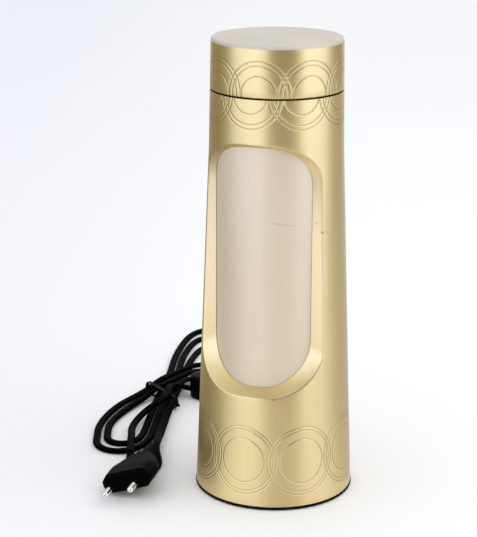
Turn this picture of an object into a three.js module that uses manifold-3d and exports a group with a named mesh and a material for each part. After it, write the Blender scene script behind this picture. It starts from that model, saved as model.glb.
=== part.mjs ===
// A table lamp that stays on through the sabbath: a tapered metal tower with a tall window.
// Turning the cap turns a shutter sleeve behind the window, so that the light is covered
// or shown while the bulb stays lit. The mains lead lies behind it as a tied hank.
// Millimetres, +Z up, the origin at the centre of the base on the table, the window faces -Y.

import * as THREE from 'three';
import { mergeVertices } from 'three/addons/utils/BufferGeometryUtils.js';
import Module from 'manifold-3d';

const wasm = await Module();
wasm.setup();

// Driving dimensions of the tower
const lampHeight = 300;
const bottomRadius = 51.85;
const kinkDepth = 70;
const kinkHeight = lampHeight - kinkDepth;
const topRadius = 42;
const kinkFlare = 1.2;
const kinkRadius = topRadius + kinkFlare;
const wall = 2;
const capDepth = 33.1;
const seamHeight = lampHeight - capDepth;
const seamGap = 1;
const edgeRound = 1.2;

// Clearances
const fit = 0.3;
const overrun = 6;

// Steps round the large, middle and small round pieces
const roundSteps = 60;
const middleSteps = 24;
const smallSteps = 12;

// Base plate and its feet
const footHeight = 2;
const footRadius = 6;
const footInset = 9.85;
const footCircle = bottomRadius - footInset;
const footShow = 0.8;
const rimShow = 0.35;
const rimRadius = bottomRadius + rimShow;
const rimThickness = 1;
const plateThickness = 4.2;
const spigotGap = 0.5;

// Shutter sleeve, diffuser and the collar that guides them
const lipGap = 0.8;
const sleeveRadius = topRadius - wall - lipGap;
const sleeveWall = 1.2;
const ledgeHeight = 24;
const sleeveLift = 1;
const sleeveFoot = ledgeHeight + sleeveLift;
const sleeveDepth = 14;
const sleeveTop = lampHeight - sleeveDepth;
const collarGap = 0.4;
const collarWall = 0.8;
const collarHeight = 20;
const collarTop = ledgeHeight + collarHeight;
const ledgeWidth = 3.1;
const diffuserGap = 1.5;
const diffuserRadius = sleeveRadius - sleeveWall - diffuserGap;
const diffuserWall = 1.5;
const diffuserDepth = 44;
const diffuserTop = lampHeight - diffuserDepth;
const lidThickness = 2;
const lidSpigot = 6;
const ventCount = 6;
const ventRadius = 4;
const ventCircle = 20;

// Window, seen from the front: the inner edge lies beside the sleeve, the outer on the shell
const windowHalfWidth = 31.7;
const windowLow = 80;
const windowDepth = 63;
const windowHigh = lampHeight - windowDepth;
const windowCorner = 26;
const sillDrop = 4;
const outerLow = windowLow - sillDrop;
const lintelRise = 1.3;
const outerHigh = windowHigh + lintelRise;
const outerHalfWidthHigh = 36.5;
const outerHalfWidthLow = 40.2;
const stationInset = 25;
const outerHighStation = windowHigh - stationInset;
const outerLowStation = windowLow + stationInset;
const lipThickness = 1.7;
const cornerSteps = 8;
const shutterMargin = 2;

// Cap, its carrier and the glide ring in the seam
const carrierThickness = 3;
const carrierSpigot = 6;
const carrierSpigotWall = 1;
const capScrewInset = 14;
const capScrewCircle = topRadius - capScrewInset;
const capBossRadius = 3.6;
const glideGap = 0.45;
const glideLip = 0.6;
const glideDepth = 4.9;
const glideFlange = 0.7;
const glideInset = 0.7;

// Screws
const screwCount = 3;
const screwShank = 1.4;
const screwHead = 2.8;
const screwHeadHeight = 1.8;
const screwLength = 8;
const lugRadius = 4.9;
const lugInset = 6.45;
const lugCircle = bottomRadius - lugInset;
const lugTop = 16;

// Lampholder, its bracket and the lamp in it
const bracketHeight = 20;
const bracketLength = 50;
const bracketWidth = 16;
const bracketThickness = 1.2;
const bracketInset = 5;
const bracketPost = bracketLength / 2 - bracketInset;
const postRadius = 4;
const holderRadius = 19;
const holderTop = 66;
const holderNeck = 12;
const holderSocketRadius = 14.8;
const holderSocketFloor = 36;
const threadWall = 0.7;
const threadTop = 61;
const contactLength = 16;
const contactWidth = 6;
const contactThickness = 0.8;
const lampCapRadius = 13.2;
const lampCapFoot = 41;
const lampCapTop = 63;
const threadCount = 5;
const threadDepth = 0.7;
const lampTipRadius = 4;
const lampTipHeight = 3;
const lampBodyFoot = 13.4;
const lampBodyRadius = 21;
const lampBodyTop = 98;
const lampGlobeRadius = 22.5;
const lampGlobeTop = 190;

// Mains lead: flat twin cord, its gland in the shell and its clamp inside
const cordWidth = 5.4;
const cordThickness = 3.4;
const cordFloor = 0.1;
const layerGap = 0.5;
const glandHeight = 14;
const glandNeck = 5;
const glandFlange = 8;
const glandFlangeThickness = 2;
const glandNut = 7;
const glandNutThickness = 1.5;
const glandNutGap = 0.9;
const glandTail = 25;
const glandTip = 3.4;
const clampInset = 7.5;
const clampLength = 24;
const clampWidth = 8;
const clampThickness = 3;
const clampScrewSpread = 8.5;
const clampPost = 3.2;
const clampRib = 8;
const notchWidth = 8;
const wireRadius = 1.1;

// Inline switch on the lead
const switchPlace = [-77.6, 138.2];
const switchTurn = 17.3;
const switchLength = 62;
const switchWidth = 25;
const switchLevel = 6.2;
const switchNeck = 9;
const switchShoulder = 44;
const switchFloor = 0.3;
const switchSplit = 9;
const switchHeight = 18;
const switchWall = 1.6;
const rockerLength = 13.6;
const rockerWidth = 10;
const rockerFoot = 12;
const rockerHeight = 8;
const rockerDish = 1.2;
const rockerTilt = 8;
const pivotHeight = 14.2;
const pivotRadius = 1.1;
const cheekThickness = 2;
const stripLength = 26;
const stripThickness = 0.8;
const stripWidth = 5;
const switchScrewSpread = 18;
const switchPostRadius = 4.2;

// Two-pin plug
const plugPlace = [-81.6, -62.4, 12];
const plugTurn = 4.1;
const plugRoll = 18;
const plugWidth = 35.3;
const plugThickness = 13.7;
const plugBodyLength = 38;
const plugReliefLength = 26;
const pinSpacing = 17.9;
const pinRadius = 2;
const pinLength = 19;
const pinBare = 9;
const pinSleeveRadius = 1.85;

// Hank: the lead wound in figures of eight and tied where they cross
const hankPlace = [-125.4, 136.9];
const hankTurn = 97.1;
const hankLift = 1;
const riseStart = 60;
const riseEnd = 24;
const hankSides = 6;
const shortSteps = 2;
const longSteps = 3;
const tieThickness = 0.7;
const tieWidth = 3;
const tieHalfLength = 24;
const tiePlace = [-23, 2.8];
const tieTurn = 43.8;
const tieSteps = 10;
const tieKnotLength = 7;
const tieKnotRadius = 0.9;

// Materials
const material = (color, roughness, metalness) =>
  new THREE.MeshStandardMaterial({ color, roughness, metalness });
const gold = material(0xcdb57c, 0.38, 0.85);
const capGold = material(0xd4bd86, 0.38, 0.85);
const shutterSatin = material(0xdccdb6, 0.5, 0.5);
const blackPlastic = material(0x17171a, 0.5, 0);
const blackRubber = material(0x101012, 0.75, 0);
const cordBlack = material(0x141417, 0.5, 0);
const opal = material(0xf3efe4, 0.45, 0);
const whitePlastic = material(0xf2f0ea, 0.4, 0);
const steel = material(0xb8bbc0, 0.35, 1);
const nickel = material(0xd5d2ca, 0.25, 1);
const brass = material(0xc9a254, 0.3, 1);
const liveBrown = material(0x6b4226, 0.5, 0);
const neutralBlue = material(0x2b4fa0, 0.5, 0);

const lamp = new THREE.Group();
const radians = (degrees) => (degrees * Math.PI) / 180;

// Solids: a closed triangle mesh with shared corners and its faces pointing out
function closed(geometry) {
  const bare = geometry.index ? geometry.toNonIndexed() : geometry.clone();
  bare.deleteAttribute('normal');
  bare.deleteAttribute('uv');
  const merged = mergeVertices(bare, fit / 1000);
  const at = merged.attributes.position;
  const corners = merged.index.array;
  const kept = [];
  let volume = 0;
  const a = new THREE.Vector3();
  const b = new THREE.Vector3();
  const c = new THREE.Vector3();
  for (let i = 0; i < corners.length; i += 3) {
    const [p, q, r] = [corners[i], corners[i + 1], corners[i + 2]];
    if (p === q || q === r || r === p) continue;
    a.fromBufferAttribute(at, p);
    b.fromBufferAttribute(at, q);
    c.fromBufferAttribute(at, r);
    volume += a.dot(b.cross(c));
    kept.push([p, q, r]);
  }
  const outward = volume < 0 ? kept.map(([p, q, r]) => [p, r, q]) : kept;
  merged.setIndex(outward.flat());
  return merged;
}

function toManifold(geometry) {
  const mesh = new wasm.Mesh({
    numProp: 3,
    vertProperties: new Float32Array(geometry.attributes.position.array),
    triVerts: new Uint32Array(geometry.index.array),
  });
  return new wasm.Manifold(mesh);
}

function fromManifold(solid) {
  const mesh = solid.getMesh();
  const geometry = new THREE.BufferGeometry();
  geometry.setAttribute('position', new THREE.BufferAttribute(mesh.vertProperties, 3));
  geometry.setIndex(new THREE.BufferAttribute(mesh.triVerts, 1));
  return geometry;
}

const cut = (body, ...tools) =>
  fromManifold(tools.reduce((left, tool) => left.subtract(toManifold(tool)), toManifold(body)));
const join = (...bodies) =>
  fromManifold(bodies.slice(1).reduce((sum, body) => sum.add(toManifold(body)), toManifold(bodies[0])));

function add(name, geometry, finish, parent = lamp) {
  const mesh = new THREE.Mesh(geometry, finish);
  mesh.name = name;
  parent.add(mesh);
  return mesh;
}

// A profile of [radius, height] points turned about the Z axis; the profile closes on itself
function turned(profile, steps) {
  const points = profile.map(([radius, height]) => new THREE.Vector2(radius, height));
  const onAxis = points[0].x === 0 && points[points.length - 1].x === 0;
  if (!onAxis) points.push(points[0].clone());
  return closed(new THREE.LatheGeometry(points, steps).rotateX(Math.PI / 2));
}

const disc = (radius, low, high, steps) =>
  turned([[0, low], [radius, low], [radius, high], [0, high]], steps);
const ring = (inner, outer, low, high, steps) =>
  turned([[inner, low], [outer, low], [outer, high], [inner, high]], steps);
const rod = (x, y, radius, low, high, steps = smallSteps) =>
  disc(radius, low, high, steps).translate(x, y, 0);

// A block given by its size, its centre in plan and its lowest and highest level
function block(length, width, low, high, x = 0, y = 0) {
  const box = new THREE.BoxGeometry(length, width, high - low);
  return closed(box.translate(x, y, (low + high) / 2));
}

// Rings of points joined in order, with flat ends
function loft(rings) {
  const count = rings[0].length;
  const flat = rings.flat();
  const triangles = [];
  for (let k = 0; k + 1 < rings.length; k += 1) {
    for (let i = 0; i < count; i += 1) {
      const p = k * count + i;
      const q = k * count + ((i + 1) % count);
      triangles.push(p, q, q + count, p, q + count, p + count);
    }
  }
  [0, rings.length - 1].forEach((k) => {
    const middle = new THREE.Vector3();
    rings[k].forEach((point) => middle.add(point));
    flat.push(middle.divideScalar(count));
    const centre = flat.length - 1;
    for (let i = 0; i < count; i += 1) {
      const pair = [k * count + i, k * count + ((i + 1) % count)];
      if (k === 0) pair.reverse();
      triangles.push(centre, pair[0], pair[1]);
    }
  });
  const geometry = new THREE.BufferGeometry().setFromPoints(flat);
  geometry.setIndex(triangles);
  return closed(geometry);
}

// Radius of the tower's outside at a height
function towerRadius(height) {
  if (height < kinkHeight) return bottomRadius + ((kinkRadius - bottomRadius) * height) / kinkHeight;
  return kinkRadius + ((topRadius - kinkRadius) * (height - kinkHeight)) / (lampHeight - kinkHeight);
}

const plateLow = footShow;
const plateTop = footShow + plateThickness;
const shellLow = plateLow + rimThickness;
const capLow = seamHeight + seamGap;

// Points round a window outline, counterclockwise from the front: [x, z] pairs
function outline(low, high, corner, halfWidthAt) {
  const points = [];
  const quarter = (sideways, level, start) => {
    for (let i = 0; i <= cornerSteps; i += 1) {
      const angle = radians(start + (90 * i) / cornerSteps);
      const z = level + corner * Math.sin(angle);
      points.push([sideways * (halfWidthAt(z) - corner) + corner * Math.cos(angle), z]);
    }
  };
  quarter(1, low + corner, -90);
  quarter(1, high - corner, 0);
  quarter(-1, high - corner, 90);
  quarter(-1, low + corner, 180);
  return points;
}

const innerOutline = outline(windowLow, windowHigh, windowCorner, () => windowHalfWidth);
const outerHalfWidth = (z) => outerHalfWidthLow + ((outerHalfWidthHigh - outerHalfWidthLow)
  * (z - outerLowStation)) / (outerHighStation - outerLowStation);
const outerOutline = outline(outerLow, outerHigh, windowCorner, outerHalfWidth);

// Window in the shell: a lip runs from the outside in to the sleeve, and a void opens it
const lipRadius = sleeveRadius + lipGap;
const frontOf = (radius, x) => -Math.sqrt(radius * radius - x * x);
const lipInner = innerOutline.map(([x, z]) => new THREE.Vector3(x, frontOf(lipRadius, x), z));
const lipOuter = outerOutline.map(([x, z]) => new THREE.Vector3(x, frontOf(towerRadius(z), x), z));
const lipBeyond = lipOuter.map((point, i) => point.clone().lerp(lipInner[i], -0.5));
const lipBehind = lipInner.map((point, i) => {
  const count = lipInner.length;
  const along = lipInner[(i + 1) % count].clone().sub(lipInner[(i + count - 1) % count]);
  const across = lipOuter[i].clone().sub(point);
  return along.cross(across).normalize().multiplyScalar(lipThickness);
});
const atDepth = (points, depth) => points.map((point) => new THREE.Vector3(point.x, depth, point.z));
const windowBack = -lipRadius / 4;
const windowFront = -bottomRadius - overrun;
const windowVoid = loft([
  atDepth(lipInner, windowBack), lipInner, lipBeyond, atDepth(lipBeyond, windowFront),
]);
const shifted = (points) => points.map((point, i) => point.clone().add(lipBehind[i]));
const lipBlock = loft([
  atDepth(shifted(lipInner), windowBack), shifted(lipInner), shifted(lipBeyond),
  atDepth(shifted(lipBeyond), windowFront),
]);

// Places that repeat round the axis: a count, the circle's radius and the first angle
const around = (count, circle, first) => Array.from({ length: count }, (unused, i) => {
  const angle = radians(first + (360 * i) / count);
  return [circle * Math.cos(angle), circle * Math.sin(angle)];
});
const lugPlaces = around(screwCount, lugCircle, 45);
const footPlaces = around(4, footCircle, 0);
const capScrewPlaces = around(screwCount, capScrewCircle, 30);

// A screw that points up, its head's lower face at the given level
function screw(x, y, low, length = screwLength) {
  return turned([
    [0, low], [screwHead, low], [screwHead, low + screwHeadHeight],
    [screwShank, low + screwHeadHeight], [screwShank, low + screwHeadHeight + length],
    [0, low + screwHeadHeight + length],
  ], smallSteps).translate(x, y, 0);
}
const screwHole = (x, y, low, high) => rod(x, y, screwShank + fit, low, high);
const headHole = (x, y, low, high) => rod(x, y, screwHead + fit, low, high);

// Outer shell: the tapered gold tower with its window lip, screw lugs and cord hole
const towerProfile = (inset, low, high) => {
  const radii = [low, kinkHeight, high].map((height) => [towerRadius(height) - inset, height]);
  return [[0, low], ...radii, [0, high]];
};
const shellOutside = turned(towerProfile(0, shellLow, seamHeight), roundSteps);
const shellInside = turned(towerProfile(wall, shellLow - overrun, seamHeight + overrun), roundSteps);
const sleeveRoom = disc(lipRadius, shellLow - overrun, seamHeight + overrun, roundSteps);
const lugs = lugPlaces.map(([x, y]) => rod(x, y, lugRadius, plateTop + fit, lugTop));
const lugHoles = lugPlaces.map(([x, y]) => screwHole(x, y, plateLow, lugTop - wall));
const cordHole = rod(0, 0, glandNeck + fit, kinkRadius - overrun, bottomRadius + overrun, middleSteps)
  .rotateX(-Math.PI / 2).translate(0, 0, glandHeight);
const shellRoom = cut(shellInside, cut(lipBlock, sleeveRoom), ...lugs);
add('outer_shell', cut(shellOutside, shellRoom, windowVoid, cordHole, ...lugHoles), gold);

// Base plate: closes the tower, carries the feet, the collar and the posts
const spigotRadius = towerRadius(plateTop) - wall - spigotGap;
const collarRadius = sleeveRadius - sleeveWall - collarGap;
const ledgeRadius = collarRadius - ledgeWidth;
const rimLower = disc(rimRadius, plateLow, shellLow, roundSteps);
const plate = turned([
  [0, plateLow + fit], [spigotRadius, plateLow + fit], [spigotRadius, plateTop],
  [collarRadius, plateTop], [collarRadius, collarTop],
  [collarRadius - collarWall, collarTop], [collarRadius - collarWall, ledgeHeight],
  [ledgeRadius, ledgeHeight], [ledgeRadius, plateTop], [0, plateTop],
], roundSteps);
const clampPlace = ledgeRadius - clampInset;
const clampPosts = [-1, 1].map((side) => [side * clampScrewSpread, clampPlace]);
const cordTop = glandHeight + cordThickness / 2;
const cordUnder = glandHeight - cordThickness / 2;
const clampSeat = cordTop + fit;
const bracketPosts = [[-bracketPost, 0], [bracketPost, 0]];
const postFoot = plateTop - rimThickness;
const shankEnd = (low) => low - screwLength;
const baseSolid = join(
  rimLower,
  plate,
  ...clampPosts.map(([x, y]) => rod(x, y, clampPost, postFoot, clampSeat)),
  block(clampRib, clampWidth, postFoot, cordUnder - fit, 0, clampPlace),
  ...bracketPosts.map(([x, y]) => rod(x, y, postRadius, postFoot, bracketHeight)),
);
const notch = block(notchWidth, sleeveRadius, plateTop, ledgeHeight - ledgeWidth,
  0, ledgeRadius + sleeveRadius / 2 - ledgeWidth);
const clampNotchFree = cut(notch, ...clampPosts.map(([x, y]) =>
  rod(x, y, clampPost, postFoot, clampSeat)));
const baseHoles = [
  ...footPlaces.map(([x, y]) => rod(x, y, footRadius + fit, plateLow - overrun, footHeight, middleSteps)),
  ...lugPlaces.map(([x, y]) => headHole(x, y, plateLow - overrun, plateLow + screwHeadHeight + fit)),
  ...lugPlaces.map(([x, y]) => screwHole(x, y, plateLow - overrun, plateTop + overrun)),
  ...clampPosts.map(([x, y]) => screwHole(x, y, clampSeat - screwLength, clampSeat + overrun)),
  ...bracketPosts.map(([x, y]) => screwHole(x, y, shankEnd(bracketHeight), bracketHeight + overrun)),
];
const lugRooms = lugPlaces.map(([x, y]) => rod(x, y, lugRadius + fit, plateTop + fit / 2, lugTop + fit));
add('base_plate', cut(baseSolid, clampNotchFree, ...lugRooms, ...baseHoles), blackPlastic);
footPlaces.forEach(([x, y], i) => {
  add(`foot_${i + 1}`, rod(x, y, footRadius, 0, footHeight, middleSteps), blackRubber);
});
lugPlaces.forEach(([x, y], i) => {
  add(`base_screw_${i + 1}`, screw(x, y, plateLow + fit), steel);
});

// Glide ring: the cap turns on it, and it shows as the dark line in the seam
const glideInner = sleeveRadius + glideGap;
add('glide_ring', turned([
  [glideInner, seamHeight - glideDepth], [glideInner + glideLip, seamHeight - glideDepth],
  [glideInner + glideLip, seamHeight], [towerRadius(seamHeight) - glideInset, seamHeight],
  [towerRadius(seamHeight) - glideInset, seamHeight + glideFlange],
  [glideInner, seamHeight + glideFlange],
], roundSteps), blackPlastic);

// Diffuser: an opal tube on the collar's ledge, with a vented lid
const diffuserInner = diffuserRadius - diffuserWall;
add('diffuser_tube', ring(diffuserInner, diffuserRadius, ledgeHeight, diffuserTop, roundSteps), opal);
const lidSolid = join(
  disc(diffuserRadius, diffuserTop, diffuserTop + lidThickness, roundSteps),
  ring(diffuserInner - fit - diffuserWall, diffuserInner - fit, diffuserTop - lidSpigot,
    diffuserTop + lidThickness / 2, roundSteps),
);
const vents = around(ventCount, ventCircle, 0).map(([x, y]) =>
  rod(x, y, ventRadius, diffuserTop - overrun, diffuserTop + overrun));
add('diffuser_lid', cut(lidSolid, ...vents), whitePlastic);

// Lampholder on its bracket
const bracketTop = bracketHeight + bracketThickness;
const bracketStrip = block(bracketLength, bracketWidth, bracketHeight, bracketTop);
add('holder_bracket', cut(bracketStrip, rod(0, 0, holderNeck / 2, 0, bracketTop + overrun),
  ...bracketPosts.map(([x, y]) => screwHole(x, y, 0, bracketTop + overrun))), steel);
bracketPosts.forEach(([x, y], i) => {
  const down = screw(0, 0, 0).rotateX(Math.PI);
  add(`bracket_screw_${i + 1}`, down.translate(x, y, bracketTop + fit / 3 + screwHeadHeight), steel);
});
add('lampholder_body', turned([
  [0, bracketTop], [holderNeck, bracketTop], [holderRadius, bracketTop + holderNeck / 2],
  [holderRadius, holderTop], [holderSocketRadius, holderTop],
  [holderSocketRadius, holderSocketFloor], [0, holderSocketFloor],
], middleSteps), whitePlastic);
const threadOuter = holderSocketRadius - fit;
const threadFoot = holderSocketFloor + wall;
add('lampholder_thread', ring(threadOuter - threadWall, threadOuter, threadFoot, threadTop,
  middleSteps), nickel);
const contactLow = holderSocketFloor + fit;
add('lampholder_contact', join(
  block(contactLength, contactWidth, contactLow, contactLow + contactThickness),
  rod(0, 0, contactWidth / 2, contactLow, lampCapFoot - lampTipHeight - fit),
), brass);

// Lamp: screw cap, white housing and long opal globe
const threadPitch = (lampCapTop - lampCapFoot) / (threadCount + 1);
const lampCapProfile = [[0, lampCapFoot], [lampCapRadius - threadDepth, lampCapFoot]];
for (let i = 0; i < threadCount; i += 1) {
  const level = lampCapFoot + threadPitch * (i + 0.5);
  lampCapProfile.push([lampCapRadius - threadDepth, level]);
  lampCapProfile.push([lampCapRadius, level + threadPitch / 2]);
}
lampCapProfile.push([lampCapRadius - threadDepth, lampCapTop], [0, lampCapTop]);
add('bulb_screw_cap', turned(lampCapProfile, middleSteps), nickel);
add('bulb_tip_contact', disc(lampTipRadius, lampCapFoot - lampTipHeight, lampCapFoot, smallSteps), brass);
add('bulb_housing', turned([
  [0, lampCapTop], [lampBodyFoot, lampCapTop], [lampBodyFoot, holderTop + fit],
  [lampBodyRadius, lampBodyTop], [0, lampBodyTop],
], middleSteps), whitePlastic);
const globeCorner = lampGlobeRadius * 0.6;
const globeProfile = [[0, lampBodyTop], [lampBodyRadius, lampBodyTop],
  [lampGlobeRadius, lampBodyTop + lampGlobeRadius]];
for (let i = 0; i <= 5; i += 1) {
  const angle = radians(18 * i);
  globeProfile.push([
    lampGlobeRadius - globeCorner + globeCorner * Math.cos(angle),
    lampGlobeTop - globeCorner + globeCorner * Math.sin(angle),
  ]);
}
globeProfile.push([0, lampGlobeTop]);
add('bulb_globe', turned(globeProfile, middleSteps), opal);

// Turning head: cap, carrier plate and shutter sleeve, held by screws from inside
const capInnerTop = lampHeight - wall;
const roundStart = lampHeight - edgeRound;
const capProfile = [[towerRadius(capLow) - wall, capLow], [towerRadius(capLow), capLow],
  [towerRadius(roundStart), roundStart]];
for (let i = 1; i <= 3; i += 1) {
  const angle = radians(30 * i);
  capProfile.push([
    towerRadius(roundStart) - edgeRound + edgeRound * Math.cos(angle),
    roundStart + edgeRound * Math.sin(angle),
  ]);
}
capProfile.push([0, lampHeight], [0, capInnerTop], [topRadius - wall, capInnerTop]);
const capPoints = [...capProfile.map(([radius, height]) => new THREE.Vector2(radius, height))];
capPoints.push(capPoints[0].clone());
const capCup = closed(new THREE.LatheGeometry(capPoints, roundSteps).rotateX(Math.PI / 2));
const carrierTop = sleeveTop + carrierThickness;
const capBosses = capScrewPlaces.map(([x, y]) =>
  rod(x, y, capBossRadius, carrierTop, capInnerTop + wall / 2));
const capHoles = capScrewPlaces.map(([x, y]) => screwHole(x, y, sleeveTop, capInnerTop - wall / 2));
add('cap', cut(join(capCup, ...capBosses), ...capHoles), capGold);
const sleeveInner = sleeveRadius - sleeveWall;
const carrierSolid = join(
  disc(sleeveRadius, sleeveTop, carrierTop, roundSteps),
  ring(sleeveInner - fit - carrierSpigotWall, sleeveInner - fit, sleeveTop - carrierSpigot,
    sleeveTop + carrierThickness / 2, roundSteps),
);
add('sleeve_carrier', cut(carrierSolid, ...capScrewPlaces.map(([x, y]) =>
  screwHole(x, y, sleeveTop - overrun, carrierTop + overrun))), blackPlastic);
capScrewPlaces.forEach(([x, y], i) => {
  const headLow = sleeveTop - screwHeadHeight - fit / 3;
  add(`cap_screw_${i + 1}`, screw(x, y, headLow), steel);
});

// Shutter sleeve: at rest its closed half stands in the window, its opening faces the back
const shutterOutline = outline(windowLow - shutterMargin, windowHigh + shutterMargin, windowCorner,
  () => windowHalfWidth + shutterMargin / 2);
const shutterFace = shutterOutline.map(([x, z]) => new THREE.Vector3(-x, 0, z));
const shutterOpening = loft([
  atDepth(shutterFace, sleeveRadius / 4), atDepth(shutterFace, sleeveRadius + overrun),
]);
add('shutter_sleeve', cut(ring(sleeveInner, sleeveRadius, sleeveFoot, sleeveTop, roundSteps),
  shutterOpening), shutterSatin);

// Gland: moulded strain relief that snaps into the hole at the back of the shell
const wallOutside = towerRadius(glandHeight - glandFlange) + fit;
const wallInside = towerRadius(glandHeight + glandNut) - wall - glandNutGap;
const glandFlangeOut = wallOutside + glandFlangeThickness;
const glandNutIn = wallInside - glandNutThickness;
const glandTailEnd = glandFlangeOut + glandTail;
add('cord_gland', turned([
  [0, glandNutIn], [glandNut, glandNutIn], [glandNut, wallInside], [glandNeck, wallInside],
  [glandNeck, wallOutside], [glandFlange, wallOutside], [glandFlange, glandFlangeOut],
  [glandNeck, glandFlangeOut], [glandTip, glandTailEnd], [0, glandTailEnd],
], middleSteps).rotateX(-Math.PI / 2).translate(0, 0, glandHeight), blackRubber);

// Flat cord section, its thickness upright
function cordSection(sides) {
  const shape = new THREE.Shape();
  for (let i = 0; i < sides; i += 1) {
    const angle = radians((360 * (i + 0.5)) / sides);
    const x = (cordThickness / 2) * Math.cos(angle);
    const y = (cordWidth / 2) * Math.sin(angle);
    if (i === 0) shape.moveTo(x, y);
    else shape.lineTo(x, y);
  }
  shape.closePath();
  return shape;
}

function cordTube(points, steps) {
  const path = new THREE.CatmullRomCurve3(points.map((point) => new THREE.Vector3(...point)));
  const tube = new THREE.ExtrudeGeometry(cordSection(8), {
    steps, extrudePath: path, bevelEnabled: false, curveSegments: 1,
  });
  return { path, solid: closed(tube) };
}

// Cord inside the lamp, its clamp and the two wires to the lampholder
const innerCordEnd = clampPlace - clampWidth;
add('cord_inside', block(cordWidth, glandNutIn - fit - innerCordEnd, cordUnder, cordTop,
  0, (glandNutIn - fit + innerCordEnd) / 2), cordBlack);
const clampBar = block(clampLength, clampWidth, clampSeat, clampSeat + clampThickness, 0, clampPlace);
add('cord_clamp', cut(clampBar, ...clampPosts.map(([x, y]) =>
  screwHole(x, y, 0, clampSeat + overrun))), whitePlastic);
clampPosts.forEach(([x, y], i) => {
  const down = screw(0, 0, 0).rotateX(Math.PI);
  const top = clampSeat + clampThickness + fit / 3 + screwHeadHeight;
  add(`clamp_screw_${i + 1}`, down.translate(x, y, top), steel);
});
[['wire_live', -1, liveBrown], ['wire_neutral', 1, neutralBlue]].forEach(([name, side, finish]) => {
  const x = side * (cordWidth / 4);
  const start = innerCordEnd - fit;
  const bend = new THREE.CatmullRomCurve3([
    new THREE.Vector3(x, start, glandHeight),
    new THREE.Vector3(x, start - wireRadius, glandHeight),
    new THREE.Vector3(x * 1.4, start - wireRadius * 1.5, glandHeight + wireRadius * 2),
    new THREE.Vector3(x * 2, start - wireRadius * 2, bracketTop - wireRadius * 4),
  ]);
  const circle = new THREE.Shape().absarc(0, 0, wireRadius, 0, Math.PI * 2);
  const wire = new THREE.ExtrudeGeometry(circle, {
    steps: 10, extrudePath: bend, bevelEnabled: false, curveSegments: 4,
  });
  add(name, closed(wire), finish);
});

// Inline switch: two case halves, a rocker on its pin and the strip that it presses
const switchGroup = new THREE.Group();
switchGroup.position.set(...switchPlace, 0);
switchGroup.rotation.z = radians(switchTurn);
lamp.add(switchGroup);

function switchPrism(inset, low, high) {
  const end = switchLength / 2 - inset;
  const shoulder = switchShoulder / 2 - inset / 2;
  const side = switchWidth / 2 - inset;
  const neck = switchNeck / 2 - inset / 2;
  const corners = [[end, -neck], [end, neck], [shoulder, side], [-shoulder, side],
    [-end, neck], [-end, -neck], [-shoulder, -side], [shoulder, -side]];
  const shape = new THREE.Shape(corners.map(([x, y]) => new THREE.Vector2(x, y)));
  const prism = new THREE.ExtrudeGeometry(shape, { depth: high - low, bevelEnabled: false });
  return closed(prism.translate(0, 0, low));
}
const switchScrews = [[-switchScrewSpread, 0], [switchScrewSpread, 0]];
const splitHigh = switchSplit + fit;
const lowerHollow = switchPrism(switchWall, switchFloor + switchWall, switchSplit + overrun);
const switchPosts = (low, high) => switchScrews.map(([x, y]) => rod(x, y, switchPostRadius, low, high));
add('switch_case_lower', cut(
  join(cut(switchPrism(0, switchFloor, switchSplit), lowerHollow),
    ...switchPosts(switchFloor + switchWall / 2, switchSplit)),
  ...switchScrews.map(([x, y]) => screwHole(x, y, switchFloor - overrun, switchSplit + overrun)),
  ...switchScrews.map(([x, y]) =>
    headHole(x, y, switchFloor - overrun, switchFloor + screwHeadHeight + fit)),
), blackPlastic, switchGroup);
const upperHollow = switchPrism(switchWall, splitHigh - overrun, switchHeight - switchWall);
const rockerRoom = block(rockerLength + fit * 4, rockerWidth + fit * 2, splitHigh, switchHeight + overrun);
const cheekOffset = rockerWidth / 2 + fit + cheekThickness / 2;
const cheeks = [-1, 1].map((side) => block(pivotRadius * 6, cheekThickness,
  pivotHeight - pivotRadius * 3, switchHeight - switchWall / 2, 0, side * cheekOffset));
const pinLengthHalf = rockerWidth / 2 + fit + cheekThickness;
const across = (radius, half) => disc(radius, -half, half, smallSteps)
  .rotateX(Math.PI / 2).translate(0, 0, pivotHeight);
add('switch_case_upper', cut(
  join(cut(switchPrism(0, splitHigh, switchHeight), upperHollow), ...cheeks,
    ...switchPosts(splitHigh, switchHeight - switchWall / 2)),
  rockerRoom,
  across(pivotRadius + fit, pinLengthHalf + fit),
  ...switchScrews.map(([x, y]) => screwHole(x, y, splitHigh - overrun, switchHeight - switchWall)),
), blackPlastic, switchGroup);
switchScrews.forEach(([x, y], i) => {
  add(`switch_screw_${i + 1}`, screw(x, y, switchFloor + fit), steel, switchGroup);
});
add('switch_pin', across(pivotRadius, pinLengthHalf), steel, switchGroup);
const rockerTop = rockerFoot + rockerHeight;
const rockerMiddle = rockerFoot + rockerHeight / 2;
const rockerShape = new THREE.Shape([
  [-rockerLength / 3, rockerFoot], [rockerLength / 3, rockerFoot],
  [rockerLength / 2, rockerMiddle], [rockerLength / 2, rockerTop],
  [rockerLength / 4, rockerTop - rockerDish / 2], [0, rockerTop - rockerDish],
  [-rockerLength / 4, rockerTop - rockerDish / 2],
  [-rockerLength / 2, rockerTop], [-rockerLength / 2, rockerMiddle],
].map(([x, z]) => new THREE.Vector2(x, z)));
const rockerPrism = closed(new THREE.ExtrudeGeometry(rockerShape, {
  depth: rockerWidth, bevelEnabled: false,
}).rotateX(Math.PI / 2).translate(0, rockerWidth / 2, 0));
const rockerSolid = cut(rockerPrism, across(pivotRadius + fit, rockerWidth));
rockerSolid.translate(0, 0, -pivotHeight).rotateY(radians(rockerTilt)).translate(0, 0, pivotHeight);
add('switch_rocker', rockerSolid, blackPlastic, switchGroup);
const stripLow = switchFloor + switchWall;
const strip = block(stripLength, stripWidth, stripLow, stripLow + stripThickness);
add('switch_contact', strip, brass, switchGroup);

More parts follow.
